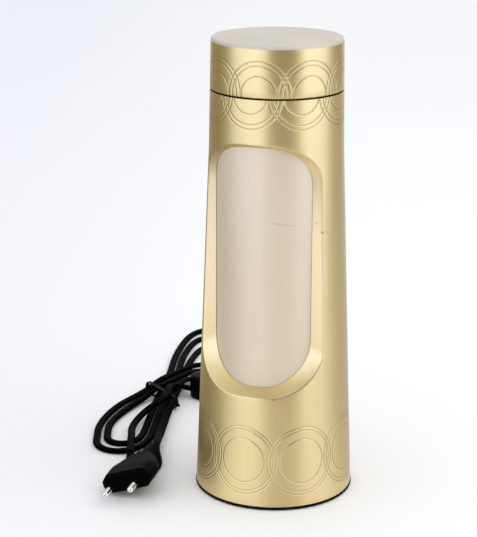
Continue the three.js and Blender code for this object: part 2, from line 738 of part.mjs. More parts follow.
// Plug: flat moulded body with its strain relief, two pins with insulating sleeves
const plugGroup = new THREE.Group();
plugGroup.position.set(...plugPlace);
plugGroup.rotation.order = 'ZYX';
plugGroup.rotation.set(0, radians(-plugRoll), radians(plugTurn));
lamp.add(plugGroup);

// Sections behind the face: distance as a share of the body, width and thickness as shares
const plugShares = [[0, 0.93, 0.86], [0.05, 1, 1], [0.42, 1, 1], [0.72, 0.72, 0.97],
  [0.95, 0.4, 0.82], [1, 0.28, 0.62]];
const plugCornerShare = 0.32;
function plugSection(y, width, thickness) {
  const x = width / 2;
  const z = thickness / 2;
  const cornerX = x - z * plugCornerShare * 2;
  const cornerZ = z * plugCornerShare;
  return [[x, -cornerZ], [x, cornerZ], [cornerX, z], [-cornerX, z], [-x, cornerZ], [-x, -cornerZ],
    [-cornerX, -z], [cornerX, -z]].map(([px, pz]) => new THREE.Vector3(px, y, pz));
}
const plugRings = plugShares.map(([back, wide, thick]) =>
  plugSection(back * plugBodyLength, wide * plugWidth, thick * plugThickness));
const reliefEnd = plugBodyLength + plugReliefLength;
plugRings.push(plugSection(reliefEnd, cordWidth + wall, cordThickness + wall));
add('plug_body', loft(plugRings), blackPlastic, plugGroup);
[-1, 1].forEach((side, i) => {
  const x = (side * pinSpacing) / 2;
  const pinStart = pinLength - pinBare;
  const pinProfile = [[0, pinStart + fit], [pinRadius, pinStart + fit],
    [pinRadius, pinLength - pinRadius / 2], [pinRadius / 2, pinLength], [0, pinLength]];
  const forward = (solid) => solid.rotateX(Math.PI / 2).translate(x, 0, 0);
  add(`plug_pin_${i + 1}`, forward(turned(pinProfile, smallSteps)), nickel, plugGroup);
  add(`plug_pin_sleeve_${i + 1}`, forward(disc(pinSleeveRadius, fit, pinStart, smallSteps)),
    blackPlastic, plugGroup);
});

// Hank: lobes to the front and the back in turn, every strand on the table except where it
// crosses another. Each lobe is a neck, a swell, a rounded tip, a swell and a neck again.
// Values are along the hank's axis and across it (left positive), from where the strands cross.
const strandLevel = cordFloor + cordThickness / 2;
const layerStep = cordThickness + layerGap;
const tipAngleShares = [-1, -2 / 3, -1 / 3, 0, 1 / 3, 2 / 3, 1];
const lobes = [
  {
    into: [[-66, 5, 1], [-76, 7.2, 0.4], [-88, 7.4, 0], [-98, 6, 0.4], [-108, 3, 1],
      [-128, -1.4, 1], [-141, -5.4, 1], [-149, -6.6, 0.4]],
    tip: [-158, -17.8, 11, 11, 0],
    out: [[-144, -26.4, 0], [-129, -20.6, 0], [-113, -16, 0], [-97, -14.8, 0], [-80, -12.9, 0],
      [-47, -9.6, 0], [-16, -7, 0], [0, -5.8, 0]],
  },
  {
    into: [[30, -3.2, 0], [58, -0.6, 0]],
    tip: [89, -15.4, 14, 14, 0],
    out: [[75, -25.6, 0], [60, -17.6, 0], [42, -8, 1], [20, 2, 1], [3, 9.4, 1], [-10, 15, 0.3]],
  },
  {
    into: [[-24, 20.8, 0], [-42, 27.6, 0], [-62, 32.2, 0], [-86, 32.8, 0], [-100, 30.6, 0]],
    tip: [-108, 9.8, 18.6, 24, 0],
    out: [[-97, -8.6, 0], [-80, -6.8, 0], [-47, -3.5, 0], [-16, -0.9, 0], [0, 0.3, 0]],
  },
  {
    into: [[36, 3.4, 0], [60, 6.6, 0], [84, 8.2, 0]],
    tip: [108, -14.4, 21.6, 20.6, 0],
    out: [[92, -36, 0], [75, -33, 0], [58, -25.2, 0], [44, -17.8, 0], [28, -10, 1], [12, -3.2, 1],
      [-8, 5, 1], [-18, 9, 1], [-28, 13, 0.3]],
  },
  {
    into: [[-42, 18.4, 0], [-60, 23.4, 0], [-84, 26.2, 0]],
    tip: [-103.5, 10, 12.2, 15, 0],
    out: [[-90, -1.8, 0], [-80, -0.7, 0], [-47, 2.6, 0], [-16, 5.2, 0], [0, 6.4, 0]],
  },
  {
    into: [[36, 9.6, 0], [60, 13, 0], [92, 15.2, 0]],
    tip: [122, -14.8, 29.2, 28, 0],
    out: [[104, -44.2, 0], [86, -42.4, 0], [66, -36.4, 0], [46, -27.2, 0], [28, -18.6, 0]],
  },
];
const stations = lobes.flatMap(({ into, tip, out }, i) => {
  const [along, across, halfWidth, depth, level] = tip;
  const outward = i % 2 === 0 ? -1 : 1;
  const round = tipAngleShares.map((share) => [
    along + outward * depth * Math.cos(radians(90 * share)),
    across - halfWidth * Math.sin(radians(90 * share)),
    level,
  ]);
  return [...into, ...round, ...out];
});

// A point in the hank's own directions, placed on the table
function inHank(along, across, z) {
  const angle = radians(hankTurn);
  return new THREE.Vector3(
    hankPlace[0] + along * Math.cos(angle) - across * Math.sin(angle),
    hankPlace[1] + along * Math.sin(angle) + across * Math.cos(angle),
    z,
  );
}

// Strands rise a little over the tie that goes under them
function overTie(along, across) {
  const distance = Math.hypot(along - tiePlace[0], across - tiePlace[1]);
  const share = THREE.MathUtils.clamp((riseStart - distance) / (riseStart - riseEnd), 0, 1);
  return hankLift * share * share * (3 - 2 * share);
}

function hankPath() {
  const flat = stations.map(([along, across]) => new THREE.Vector3(along, across, 0));
  const curve = new THREE.CatmullRomCurve3(flat);
  const last = stations.length - 1;
  const points = [];
  for (let i = 0; i < last; i += 1) {
    const apart = flat[i].distanceTo(flat[i + 1]);
    const steps = apart > cordWidth * 3 ? longSteps : shortSteps;
    for (let k = 0; k < steps + (i === last - 1 ? 1 : 0); k += 1) {
      const share = k / steps;
      const at = curve.getPoint((i + share) / last);
      const ease = share * share * (3 - 2 * share);
      const layer = stations[i][2] + (stations[i + 1][2] - stations[i][2]) * ease;
      const z = strandLevel + layer * layerStep + overTie(at.x, at.y);
      points.push(inHank(at.x, at.y, z));
    }
  }
  return points;
}

// One unbroken tube through the points, its flat side down
const hankPoints = hankPath();
const upward = new THREE.Vector3(0, 0, 1);
const hankFrames = hankPoints.map((point, i) => {
  const before = hankPoints[Math.max(i - 1, 0)];
  const after = hankPoints[Math.min(i + 1, hankPoints.length - 1)];
  const tangent = after.clone().sub(before).normalize();
  const side = upward.clone().cross(tangent).normalize();
  return { point, side, up: tangent.clone().cross(side) };
});
add('cord_hank', loft(hankFrames.map(({ point, side, up }) =>
  Array.from({ length: hankSides }, (unused, i) => {
    const angle = radians((360 * i) / hankSides);
    return point.clone()
      .addScaledVector(side, (cordWidth / 2) * Math.cos(angle))
      .addScaledVector(up, (cordThickness / 2) * Math.sin(angle));
  }))), cordBlack);

// Least gap of the hank to itself, from the reach of both sections towards each other
function reach(frame, direction) {
  return Math.hypot((cordWidth / 2) * direction.dot(frame.side),
    (cordThickness / 2) * direction.dot(frame.up));
}
const between = [];
for (let i = 0; i + 1 < hankFrames.length; i += 1) {
  for (let k = 0; k < 4; k += 1) {
    between.push({
      point: hankFrames[i].point.clone().lerp(hankFrames[i + 1].point, k / 4),
      side: hankFrames[i].side, up: hankFrames[i].up,
    });
  }
}
let travelled = 0;
const places = between.map((frame, i) => {
  if (i > 0) travelled += frame.point.distanceTo(between[i - 1].point);
  return travelled;
});
let leastGap = Infinity;
let leastAt = null;
for (let i = 0; i < between.length; i += 1) {
  for (let k = i + 1; k < between.length; k += 1) {
    if (places[k] - places[i] < cordWidth * 4) continue;
    const direction = between[k].point.clone().sub(between[i].point);
    const distance = direction.length();
    if (distance > cordWidth * 2) continue;
    direction.divideScalar(distance);
    const gap = distance - reach(between[i], direction) - reach(between[k], direction);
    if (gap < leastGap) {
      leastGap = gap;
      leastAt = between[i].point;
    }
  }
}
console.log(`hank length ${travelled.toFixed(0)} mm, least gap to itself ${leastGap.toFixed(2)} mm at`,
  leastAt.toArray().map((value) => value.toFixed(0)).join(' '));

// Free stretches of the lead, their points chosen by hand in the hank's directions
const hankStart = hankFrames[0];
const hankEnd = hankFrames[hankFrames.length - 1];
const layerTwo = strandLevel + layerStep;
const layerThree = strandLevel + 2 * layerStep;
const directed = (frame, sign, distance) => {
  const index = hankFrames.indexOf(frame);
  const next = hankFrames[sign < 0 ? index + 1 : index - 1];
  const away = frame.point.clone().sub(next.point).normalize();
  return frame.point.clone().addScaledVector(away, distance);
};

// Plug lead: from the hank's last lobe over the crossing to the plug's strain relief
const plugEnd = new THREE.Vector3(0, reliefEnd + fit, 0);
const plugNear = new THREE.Vector3(0, reliefEnd + cordWidth * 1.5, 0);
plugGroup.updateMatrix();
plugEnd.applyMatrix4(plugGroup.matrix);
plugNear.applyMatrix4(plugGroup.matrix);
const plugLeadPoints = [
  directed(hankEnd, 1, fit).toArray(),
  directed(hankEnd, 1, cordWidth * 1.5).toArray(),
  inHank(8, -9.6, layerTwo + hankLift).toArray(),
  inHank(-8, -6.8, layerTwo + hankLift).toArray(),
  inHank(-27, -6.6, layerTwo + hankLift).toArray(),
  inHank(-57, -10, layerTwo + hankLift).toArray(),
  inHank(-88, -13.4, layerTwo).toArray(),
  inHank(-108, -15.4, layerTwo + hankLift / 2).toArray(),
  inHank(-121, -18, layerTwo + hankLift * 2.4).toArray(),
  plugNear.toArray(),
  plugEnd.toArray(),
];
const plugLead = cordTube(plugLeadPoints, 22);
add('cord_plug_lead', plugLead.solid, cordBlack);

// Switch lead: from the switch over the bundle into the first lobe
const switchEnd = switchLength / 2 + fit;
switchGroup.updateMatrix();
const fromSwitch = (x, y, z) => new THREE.Vector3(x, y, z).applyMatrix4(switchGroup.matrix).toArray();
const switchLeadPoints = [
  fromSwitch(-switchEnd, 0, switchLevel),
  fromSwitch(-switchEnd - cordWidth, 0, switchLevel + fit),
  inHank(-38, -20.6, layerTwo + hankLift * 2.6).toArray(),
  inHank(-46, -14.4, layerThree + hankLift).toArray(),
  inHank(-52, -7.4, layerThree + hankLift).toArray(),
  inHank(-57.4, -0.8, layerThree - hankLift).toArray(),
  directed(hankStart, -1, cordWidth * 0.8).toArray(),
  directed(hankStart, -1, fit).toArray(),
];
const switchLead = cordTube(switchLeadPoints, 16);
add('cord_switch_lead', switchLead.solid, cordBlack);

// Lamp lead: from the other end of the switch round to the gland at the back of the tower
const lampLeadPoints = [
  fromSwitch(switchEnd, 0, switchLevel),
  fromSwitch(switchEnd + cordWidth, 0, switchLevel - fit),
  fromSwitch(switchEnd + cordWidth * 2.6, 0.6, 3.8),
  [-18, 150.4, strandLevel + fit],
  [-5, 142, strandLevel + fit],
  [1.6, 128, strandLevel + fit],
  [2, 113, 3],
  [0.6, 98, 8],
  [0, glandTailEnd + cordWidth * 1.5, glandHeight - fit],
  [0, glandTailEnd + fit, glandHeight],
];
const lampLead = cordTube(lampLeadPoints, 20);
add('cord_lamp_lead', lampLead.solid, cordBlack);
const leadLength = travelled + [plugLead, switchLead, lampLead]
  .reduce((sum, lead) => sum + lead.path.getLength(), 0) + switchLength;
console.log(`whole lead with the stretch through the switch ${leadLength.toFixed(0)} mm`);

// Tie: a flat strip round the bundle where the strands cross, its ends twisted together
const tieLow = cordFloor;
const tieTop = strandLevel + hankLift + layerStep + cordThickness / 2 + layerGap + tieThickness;
const tieHalfHeight = (tieTop - tieLow) / 2;
function tieRing(inset, depth) {
  const points = [];
  const end = tieHalfLength - tieHalfHeight;
  const radius = tieHalfHeight - inset;
  [[1, -90], [-1, 90]].forEach(([side, start]) => {
    for (let i = 0; i <= tieSteps; i += 1) {
      const angle = radians(start + (180 * i) / tieSteps);
      points.push(new THREE.Vector2(side * end + radius * Math.cos(angle),
        tieLow + tieHalfHeight + radius * Math.sin(angle)));
    }
  });
  const shape = new THREE.Shape(points);
  const prism = new THREE.ExtrudeGeometry(shape, { depth, bevelEnabled: false });
  return closed(prism.translate(0, 0, -depth / 2));
}
const tieBand = cut(tieRing(0, tieWidth), tieRing(tieThickness, tieWidth + overrun));
const tieKnot = closed(new THREE.CylinderGeometry(tieKnotRadius, tieKnotRadius, tieKnotLength, 8)
  .rotateZ(Math.PI / 3).translate(tieHalfLength + tieKnotLength / 3, tieHalfHeight, 0));
const tieSolid = join(tieBand, tieKnot).rotateX(Math.PI / 2);
const tieCentre = inHank(tiePlace[0], tiePlace[1], 0);
tieSolid.rotateZ(radians(hankTurn + tieTurn));
add('cord_tie', tieSolid.translate(tieCentre.x, tieCentre.y, 0), blackRubber);

export default lamp;
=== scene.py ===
import math

import bmesh
import bpy
from mathutils import Matrix, Vector


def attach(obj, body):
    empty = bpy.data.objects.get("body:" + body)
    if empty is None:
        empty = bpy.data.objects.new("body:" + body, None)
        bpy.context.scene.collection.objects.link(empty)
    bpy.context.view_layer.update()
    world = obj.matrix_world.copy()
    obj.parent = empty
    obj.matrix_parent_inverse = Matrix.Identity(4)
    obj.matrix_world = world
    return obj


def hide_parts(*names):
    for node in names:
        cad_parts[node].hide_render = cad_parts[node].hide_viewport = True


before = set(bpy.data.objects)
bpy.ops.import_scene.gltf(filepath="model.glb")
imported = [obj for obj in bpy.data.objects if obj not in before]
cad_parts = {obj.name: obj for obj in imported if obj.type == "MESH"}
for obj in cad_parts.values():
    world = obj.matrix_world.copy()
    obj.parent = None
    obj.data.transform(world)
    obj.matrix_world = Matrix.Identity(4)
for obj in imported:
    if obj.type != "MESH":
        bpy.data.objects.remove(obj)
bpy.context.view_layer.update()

# ---- Viewpoint ----
# The lamp is seen from a metre away, a little from above and from its right.
# The long lens keeps the tower's sides almost upright, as in the photograph.
scene = bpy.context.scene
camera_place = Vector((0.3148, -1.0106, 0.4610))
camera_heading = math.radians(18.6)
camera_dip = math.radians(16.47)
camera_roll = math.radians(0.19)
ahead = Vector((-math.sin(camera_heading) * math.cos(camera_dip),
                math.cos(camera_heading) * math.cos(camera_dip), -math.sin(camera_dip)))
level_right = Vector((math.cos(camera_heading), math.sin(camera_heading), 0))
level_up = level_right.cross(ahead)
right = level_right * math.cos(camera_roll) + level_up * math.sin(camera_roll)
up = level_up * math.cos(camera_roll) - level_right * math.sin(camera_roll)
camera = bpy.data.objects.new("camera", bpy.data.cameras.new("camera"))
camera.data.lens = 113.5
camera.data.sensor_width = 36
camera.data.clip_start = 0.05
camera.matrix_world = Matrix((
    (*right[:1], *up[:1], *(-ahead)[:1], camera_place.x),
    (right.y, up.y, -ahead.y, camera_place.y),
    (right.z, up.z, -ahead.z, camera_place.z),
    (0, 0, 0, 1)))
scene.collection.objects.link(camera)
scene.camera = camera
scene.view_settings.view_transform = "Standard"


# ---- Mains lead ----
# Flat twin PVC flex, two cores side by side under one black sheath, 5.4 by 3.4 mm.
# It leaves the gland at the tower's back, runs through the inline switch, is wound in
# figures of eight that a twist tie holds, and ends in the moulded plug.
lead_width = 0.0054
lead_thickness = 0.0034
route_step = 0.002
smoothing_turns = 14
level_smoothing_turns = 8
twist_length = 0.06
twist_points = 40
# The points of its middle line, in millimetres, from the gland to the plug
gland_to_switch = [
    (0.0, 79.2, 14.0), (0.0, 87.0, 13.7), (0.6, 98.0, 8.0), (2.0, 113.0, 3.0), (1.6, 128.0, 2.1),
    (-5.0, 142.0, 2.1), (-18.0, 150.4, 2.1), (-34.5, 152.3, 3.8), (-42.6, 149.1, 5.9),
    (-47.7, 147.5, 6.2),
]
switch_to_hank = [
    (-107.5, 128.9, 6.2), (-113.0, 127.2, 8.0), (-117.6, 123.2, 10.2), (-119.3, 117.0, 10.9),
    (-118.0, 110.0, 11.5), (-115.0, 103.4, 11.6), (-113.0, 97.0, 11.2), (-113.2, 90.6, 10.7),
    (-115.4, 84.6, 10.2), (-118.6, 79.6, 8.8), (-121.4, 75.0, 7.2),
]
wound_lead = [
    (-122.2, 70.8, 6.0), (-123.2, 60.6, 4.7), (-121.9, 48.7, 4.2), (-119.2, 38.9, 4.8),
    (-115.0, 29.4, 5.7), (-108.2, 10.1, 5.7), (-102.6, -2.4, 5.7), (-101.0, -9.0, 3.4),
    (-100.2, -15.4, 1.8), (-98.3, -20.6, 1.8), (-94.1, -24.2, 1.8), (-88.6, -25.1, 1.8),
    (-83.5, -23.1, 1.8), (-80.1, -18.8, 1.8), (-79.3, -13.0, 1.8), (-82.4, -1.6, 1.8),
    (-89.2, 11.4, 1.8), (-95.6, 26.7, 1.8), (-98.7, 42.5, 1.8), (-102.7, 59.1, 1.8),
    (-110.1, 91.4, 2.8), (-116.5, 121.9, 2.8), (-119.6, 137.6, 2.8), (-125.9, 167.1, 1.9),
    (-132.0, 194.5, 1.8), (-135.0, 225.4, 1.8), (-134.0, 232.6, 1.8), (-129.6, 238.3, 1.8),
    (-122.8, 241.0, 1.8), (-115.7, 240.0, 1.8), (-110.0, 235.6, 1.8), (-107.2, 228.9, 1.8),
    (-109.3, 214.5, 1.8), (-115.4, 198.6, 1.8), (-122.7, 179.6, 5.7), (-129.9, 156.5, 6.2),
    (-135.1, 138.7, 6.7), (-139.0, 125.1, 4.0), (-143.1, 110.5, 2.8), (-147.6, 91.8, 2.7),
    (-149.7, 71.4, 2.0), (-147.3, 47.5, 1.8), (-143.4, 33.9, 1.8), (-140.2, 26.2, 1.8),
    (-136.3, 14.6, 1.8), (-128.4, 6.7, 1.8), (-118.8, 4.7, 1.8), (-110.0, 9.0, 1.8),
    (-104.3, 18.6, 1.8), (-103.3, 30.8, 1.8), (-104.9, 41.7, 1.8), (-108.8, 58.4, 1.8),
    (-116.1, 90.7, 2.8), (-122.5, 121.1, 2.8), (-125.7, 136.9, 2.8), (-133.2, 172.2, 1.8),
    (-139.4, 195.6, 1.8), (-143.9, 219.2, 1.8), (-145.9, 243.2, 1.8), (-144.3, 253.8, 1.8),
    (-137.4, 262.2, 1.8), (-127.0, 266.3, 1.8), (-115.9, 264.9, 1.8), (-107.2, 258.4, 1.8),
    (-103.0, 248.5, 1.8), (-101.0, 232.6, 1.8), (-101.9, 215.4, 1.8), (-107.6, 197.6, 1.8),
    (-113.2, 182.8, 1.8), (-118.9, 165.9, 5.8), (-123.7, 149.2, 6.5), (-129.4, 128.3, 6.7),
    (-132.1, 117.9, 6.7), (-134.8, 107.5, 4.0), (-138.5, 92.9, 2.8), (-141.2, 74.5, 2.3),
    (-141.0, 50.3, 1.8), (-134.6, 31.4, 1.8), (-132.1, 24.2, 1.8), (-127.0, 19.3, 1.8),
    (-120.7, 18.1, 1.8), (-114.9, 20.8, 1.8), (-111.1, 26.8, 1.8), (-110.4, 34.5, 1.8),
    (-112.5, 47.8, 1.8), (-114.8, 57.6, 1.8), (-122.2, 89.9, 2.8), (-128.6, 120.4, 2.8),
    (-131.8, 136.1, 2.8), (-139.4, 171.4, 1.8), (-145.7, 194.8, 1.8), (-151.9, 226.3, 1.8),
    (-154.8, 256.2, 1.8), (-152.6, 270.6, 1.8), (-143.3, 282.1, 1.8), (-129.3, 287.6, 1.8),
    (-114.3, 285.7, 1.8), (-102.4, 276.8, 1.8), (-96.8, 263.4, 1.8), (-94.4, 245.6, 1.8),
    (-94.0, 227.5, 1.8), (-97.4, 206.9, 1.8), (-104.1, 185.9, 1.8),
]
hank_to_plug = [
    (-110.5, 166.7, 1.8), (-113.0, 159.3, 1.9), (-116.9, 146.0, 6.7), (-117.7, 129.8, 6.7),
    (-115.5, 110.9, 6.7), (-108.4, 81.6, 6.7), (-101.6, 54.0, 5.9), (-96.6, 35.0, 6.9),
    (-92.0, 21.0, 8.9), (-88.4, 12.0, 11.0), (-86.8, 7.0, 11.9), (-86.2, 1.7, 12.0),
]
plug_roll = math.radians(18)


class Level:
    """A number of a finish. Working with it adds the Math nodes that do the sum."""

    def __init__(self, finish, socket):
        self.finish = finish
        self.socket = socket

    def math(self, operation, *others):
        inputs = dict(enumerate((self, *others)))
        return self.finish.node("Math", {"operation": operation}, inputs)

    def __add__(self, other):
        return self.math("ADD", other)

    def __sub__(self, other):
        return self.math("SUBTRACT", other)

    def __mul__(self, other):
        return self.math("MULTIPLY", other)

    def __truediv__(self, other):
        return self.math("DIVIDE", other)

    def __pow__(self, other):
        return self.math("POWER", other)

    def __rsub__(self, other):
        return self.math("MULTIPLY_ADD", -1, other)

    def __abs__(self):
        return self.math("ABSOLUTE")

    __radd__ = __add__
    __rmul__ = __mul__

    def ease(self, low, high):
        """0 at low and under, 1 at high and over, with soft ends."""
        settings = {"interpolation_type": "SMOOTHSTEP"}
        inputs = {"Value": self, "From Min": low, "From Max": high}
        return self.finish.node("MapRange", settings, inputs)


class Finish:
    """A surface finish: one Principled shader, and the nodes that vary it."""

    def __init__(self, name, colour, roughness, metallic=0.0, **constants):
        self.material = bpy.data.materials.new(name)
        self.material.use_nodes = True
        self.nodes = self.material.node_tree.nodes
        self.links = self.material.node_tree.links
        self.shader = self.nodes["Principled BSDF"]
        self.shader.inputs["Base Color"].default_value = (*colour, 1)
        self.shader.inputs["Roughness"].default_value = roughness
        self.shader.inputs["Metallic"].default_value = metallic
        for socket, value in constants.items():
            self.shader.inputs[socket.replace("_", " ")].default_value = value
        self.place = self.node("TexCoord", {}, {}, "Object")
        parts = self.nodes.new("ShaderNodeSeparateXYZ")
        self.links.new(self.place.socket, parts.inputs[0])
        self.x, self.y, self.z = (Level(self, output) for output in parts.outputs)

    def node(self, kind, settings, inputs, output=0):
        """One node: its settings first, then its sockets' values or links."""
        made = self.nodes.new("ShaderNode" + kind)
        for name, value in settings.items():
            if name == "stops":
                while len(made.color_ramp.elements) < len(value):
                    made.color_ramp.elements.new(0.5)
                for stop, (share, colour) in zip(made.color_ramp.elements, value):
                    stop.position = share
                    stop.color = (*colour, 1)
            else:
                setattr(made, name, value)
        for name, value in inputs.items():
            if isinstance(value, Level):
                self.links.new(value.socket, made.inputs[name])
            else:
                made.inputs[name].default_value = value
        return Level(self, made.outputs[output])

    def noise(self, scale, detail=2.0, stretch=None):
        """Cloudy noise from 0 to 1; scale is in swirls a metre."""
        place = self.place
        if stretch:
            place = self.node("Mapping", {}, {"Vector": place, "Scale": stretch})
        return self.node("TexNoise", {}, {"Vector": place, "Scale": scale, "Detail": detail})

    def blend(self, share, colour, other):
        """A colour between two."""
        ends = [value if isinstance(value, Level) else (*value[:3], 1) for value in (colour, other)]
        return self.node("Mix", {"data_type": "RGBA"}, {0: share, 6: ends[0], 7: ends[1]}, 2)

    def feed(self, socket, value):
        """Lets a number or a colour of the finish vary."""
        self.links.new(value.socket, self.shader.inputs[socket])

    def emboss(self, height, depth):
        """Relief from a height of 0 to 1, depth in metres."""
        inputs = {"Height": height, "Distance": depth, "Strength": 1.0}
        self.feed("Normal", self.node("Bump", {}, inputs))


def drawn(rings, ends=True):
    """A skin through rings of points, each ring extruded from the one before."""
    mesh = bmesh.new()
    ring = bmesh.ops.create_circle(mesh, segments=len(rings[0]), radius=1)["verts"]
    edges = mesh.edges[:]
    first = ring
    for vert, point in zip(ring, rings[0]):
        vert.co = point
    for points in rings[1:]:
        pulled = bmesh.ops.extrude_edge_only(mesh, edges=edges)["geom"]
        edges = [part for part in pulled if isinstance(part, bmesh.types.BMEdge)]
        fresh = {part for part in pulled if isinstance(part, bmesh.types.BMVert)}
        edges = [edge for edge in edges if set(edge.verts) <= fresh]
        ring = [next(edge.other_vert(vert) for edge in vert.link_edges
                     if edge.other_vert(vert) in fresh) for vert in ring]
        for vert, point in zip(ring, points):
            vert.co = point
    if ends:
        mesh.faces.new(first)
        mesh.faces.new(ring)
        bmesh.ops.recalc_face_normals(mesh, faces=mesh.faces[:])
    return mesh


def shown(name, mesh, finish):
    """Puts a mesh in the scene as an object with a finish."""
    data = bpy.data.meshes.new(name)
    mesh.to_mesh(data)
    mesh.free()
    data.materials.append(finish.material)
    made = bpy.data.objects.new(name, data)
    scene.collection.objects.link(made)
    return made


def stand(name, mesh, finish, body, instead_of=(), crisp=35):
    """Puts a finished mesh in the scene as one piece, smooth but for its crisp edges."""
    piece = shown(name, mesh, finish)
    piece.data.shade_smooth()
    piece.data.set_sharp_from_angle(angle=math.radians(crisp))
    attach(piece, body)
    if instead_of:
        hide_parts(*instead_of)
    return piece


def smooth_route(points, step):
    """Points a step apart on a smooth line near the given points, in metres.
    The last rounds of smoothing leave each point's height as it is."""
    knots = [Vector(point) / 1000 for point in points]
    knots = [knots[0] * 2 - knots[1], *knots, knots[-1] * 2 - knots[-2]]
    route = [knots[1]]
    for i in range(1, len(knots) - 2):
        before, start, end, after = knots[i - 1:i + 3]
        spans = [math.sqrt((b - a).length) for a, b in ((before, start), (start, end), (end, after))]
        leave = ((start - before) / spans[0] - (end - before) / (spans[0] + spans[1])
                 + (end - start) / spans[1]) * spans[1]
        arrive = ((end - start) / spans[1] - (after - start) / (spans[1] + spans[2])
                  + (after - end) / spans[2]) * spans[1]
        count = max(1, round((end - start).length / step))
        for j in range(1, count + 1):
            t = j / count
            route.append(start * (2 * t ** 3 - 3 * t ** 2 + 1) + end * (3 * t ** 2 - 2 * t ** 3)
                         + leave * (t ** 3 - 2 * t ** 2 + t) + arrive * (t ** 3 - t ** 2))
    for turn in range(smoothing_turns):
        eased = [(a + b * 2 + c) / 4 for a, b, c in zip(route, route[1:], route[2:])]
        if turn >= level_smoothing_turns:
            eased = [Vector((new.x, new.y, old.z)) for new, old in zip(eased, route[1:])]
        route = [route[0]] + eased + [route[-1]]
    return route


def flex_section(steps=12):
    """Two round cores side by side: points across and up from the middle of the lead."""
    radius = lead_thickness / 2
    offset = (lead_width - lead_thickness) / 2
    reach = math.pi - math.acos(offset / radius)
    lobe = [(offset + radius * math.cos(a), radius * math.sin(a))
            for a in (reach * (2 * i / steps - 1) for i in range(steps))]
    return lobe + [(-across, -high) for across, high in lobe]


lead_route = smooth_route(gland_to_switch + switch_to_hank + wound_lead + hank_to_plug,
                          route_step)
lead_section = flex_section()
lead_rings = []
for i, point in enumerate(lead_route):
    along = (lead_route[min(i + 1, len(lead_route) - 1)] - lead_route[max(i - 1, 0)]).normalized()
    across = along.cross(Vector((0, 0, 1))).normalized()
    upward = across.cross(along)
    roll = 0.0  # but for the last stretch, which twists until it lies as the plug does
    if i + twist_points > len(lead_route):
        left = sum((b - a).length for a, b in zip(lead_route[i:], lead_route[i + 1:]))
        roll = plug_roll * max(0.0, 1 - left / twist_length)
    across, upward = (across * math.cos(roll) + upward * math.sin(roll),
                      upward * math.cos(roll) - across * math.sin(roll))
    lead_rings.append([point + across * a + upward * b for a, b in lead_section])
flex_sheath = Finish("flex_sheath", (0.001, 0.001, 0.0015), 0.42, Specular_IOR_Level=0.008)
flex_sheath.emboss(flex_sheath.noise(900, 3), 0.00006)
flex_sheath.feed("Roughness", flex_sheath.noise(60, 2) * 0.18 + 0.34)
flex_sheath.feed("Base Color", flex_sheath.blend(
    flex_sheath.noise(35, 3).ease(0.45, 0.8), (0.0008, 0.0009, 0.001), (0.002, 0.0022, 0.0025)))
mains_lead = stand("mains_lead", drawn(lead_rings), flex_sheath, "housing",
                   ("cord_hank", "cord_plug_lead", "cord_switch_lead", "cord_lamp_lead"), 60)


# ---- Cable gland ----
# The strain relief is one soft black PVC moulding: a collar outside the wall, a neck and a nut
# that hold the wall between them, and a ribbed tail that lets the flex bend gently.
gland_height = 0.014
gland_profile = [
    (0, 0.04666), (0.0066, 0.04666), (0.007, 0.0470), (0.007, 0.0482), (0.005, 0.0482),
    (0.005, 0.0518), (0.0074, 0.0518), (0.0080, 0.0524), (0.0080, 0.0532), (0.0074, 0.0538),
    (0.0054, 0.0541), (0.0050, 0.0546),
]
gland_ribs, gland_rib_start, gland_rib_pitch = 8, 0.0552, 0.0028
gland_rib = ((0, 0), (0, 0.0015), (0.0008, 0.0018), (0.0008, 0.0025))
for i in range(gland_ribs):
    gland_profile += [(0.0050 - i * 0.00017 - sunk, gland_rib_start + i * gland_rib_pitch + y)
                      for sunk, y in gland_rib]
gland_profile += [(0.0036, 0.0777), (0.0036, 0.0785), (0.0033, 0.0789), (0, 0.0789)]


def moved(mesh, place):
    """Moves and turns a whole mesh."""
    bmesh.ops.transform(mesh, matrix=place, verts=mesh.verts[:])


def turned(profile, steps, place=None):
    """A profile of (radius, height) points turned on the lathe about the upright axis."""
    mesh = bmesh.new()
    points = [mesh.verts.new((radius, 0, height)) for radius, height in profile]
    for a, b in zip(points, points[1:]):
        mesh.edges.new((a, b))
    bmesh.ops.spin(mesh, geom=mesh.verts[:] + mesh.edges[:], cent=(0, 0, 0), axis=(0, 0, 1),
                   angle=math.tau, steps=steps, use_merge=True, use_duplicate=False)
    bmesh.ops.remove_doubles(mesh, verts=mesh.verts[:], dist=1e-6)
    bmesh.ops.recalc_face_normals(mesh, faces=mesh.faces[:])
    if place:
        moved(mesh, place)
    return mesh


backwards = Matrix.Translation((0, 0, gland_height)) @ Matrix.Rotation(math.radians(-90), 4, "X")
soft_black = Finish("soft_black", (0.001, 0.001, 0.0015), 0.5, Specular_IOR_Level=0.03)
soft_black.emboss(soft_black.noise(1400, 3), 0.00008)
soft_black.feed("Roughness", soft_black.noise(90, 2) * 0.16 + 0.42)
cable_gland = stand("cable_gland", turned(gland_profile, 64, backwards), soft_black,
                    "housing", ("cord_gland",))


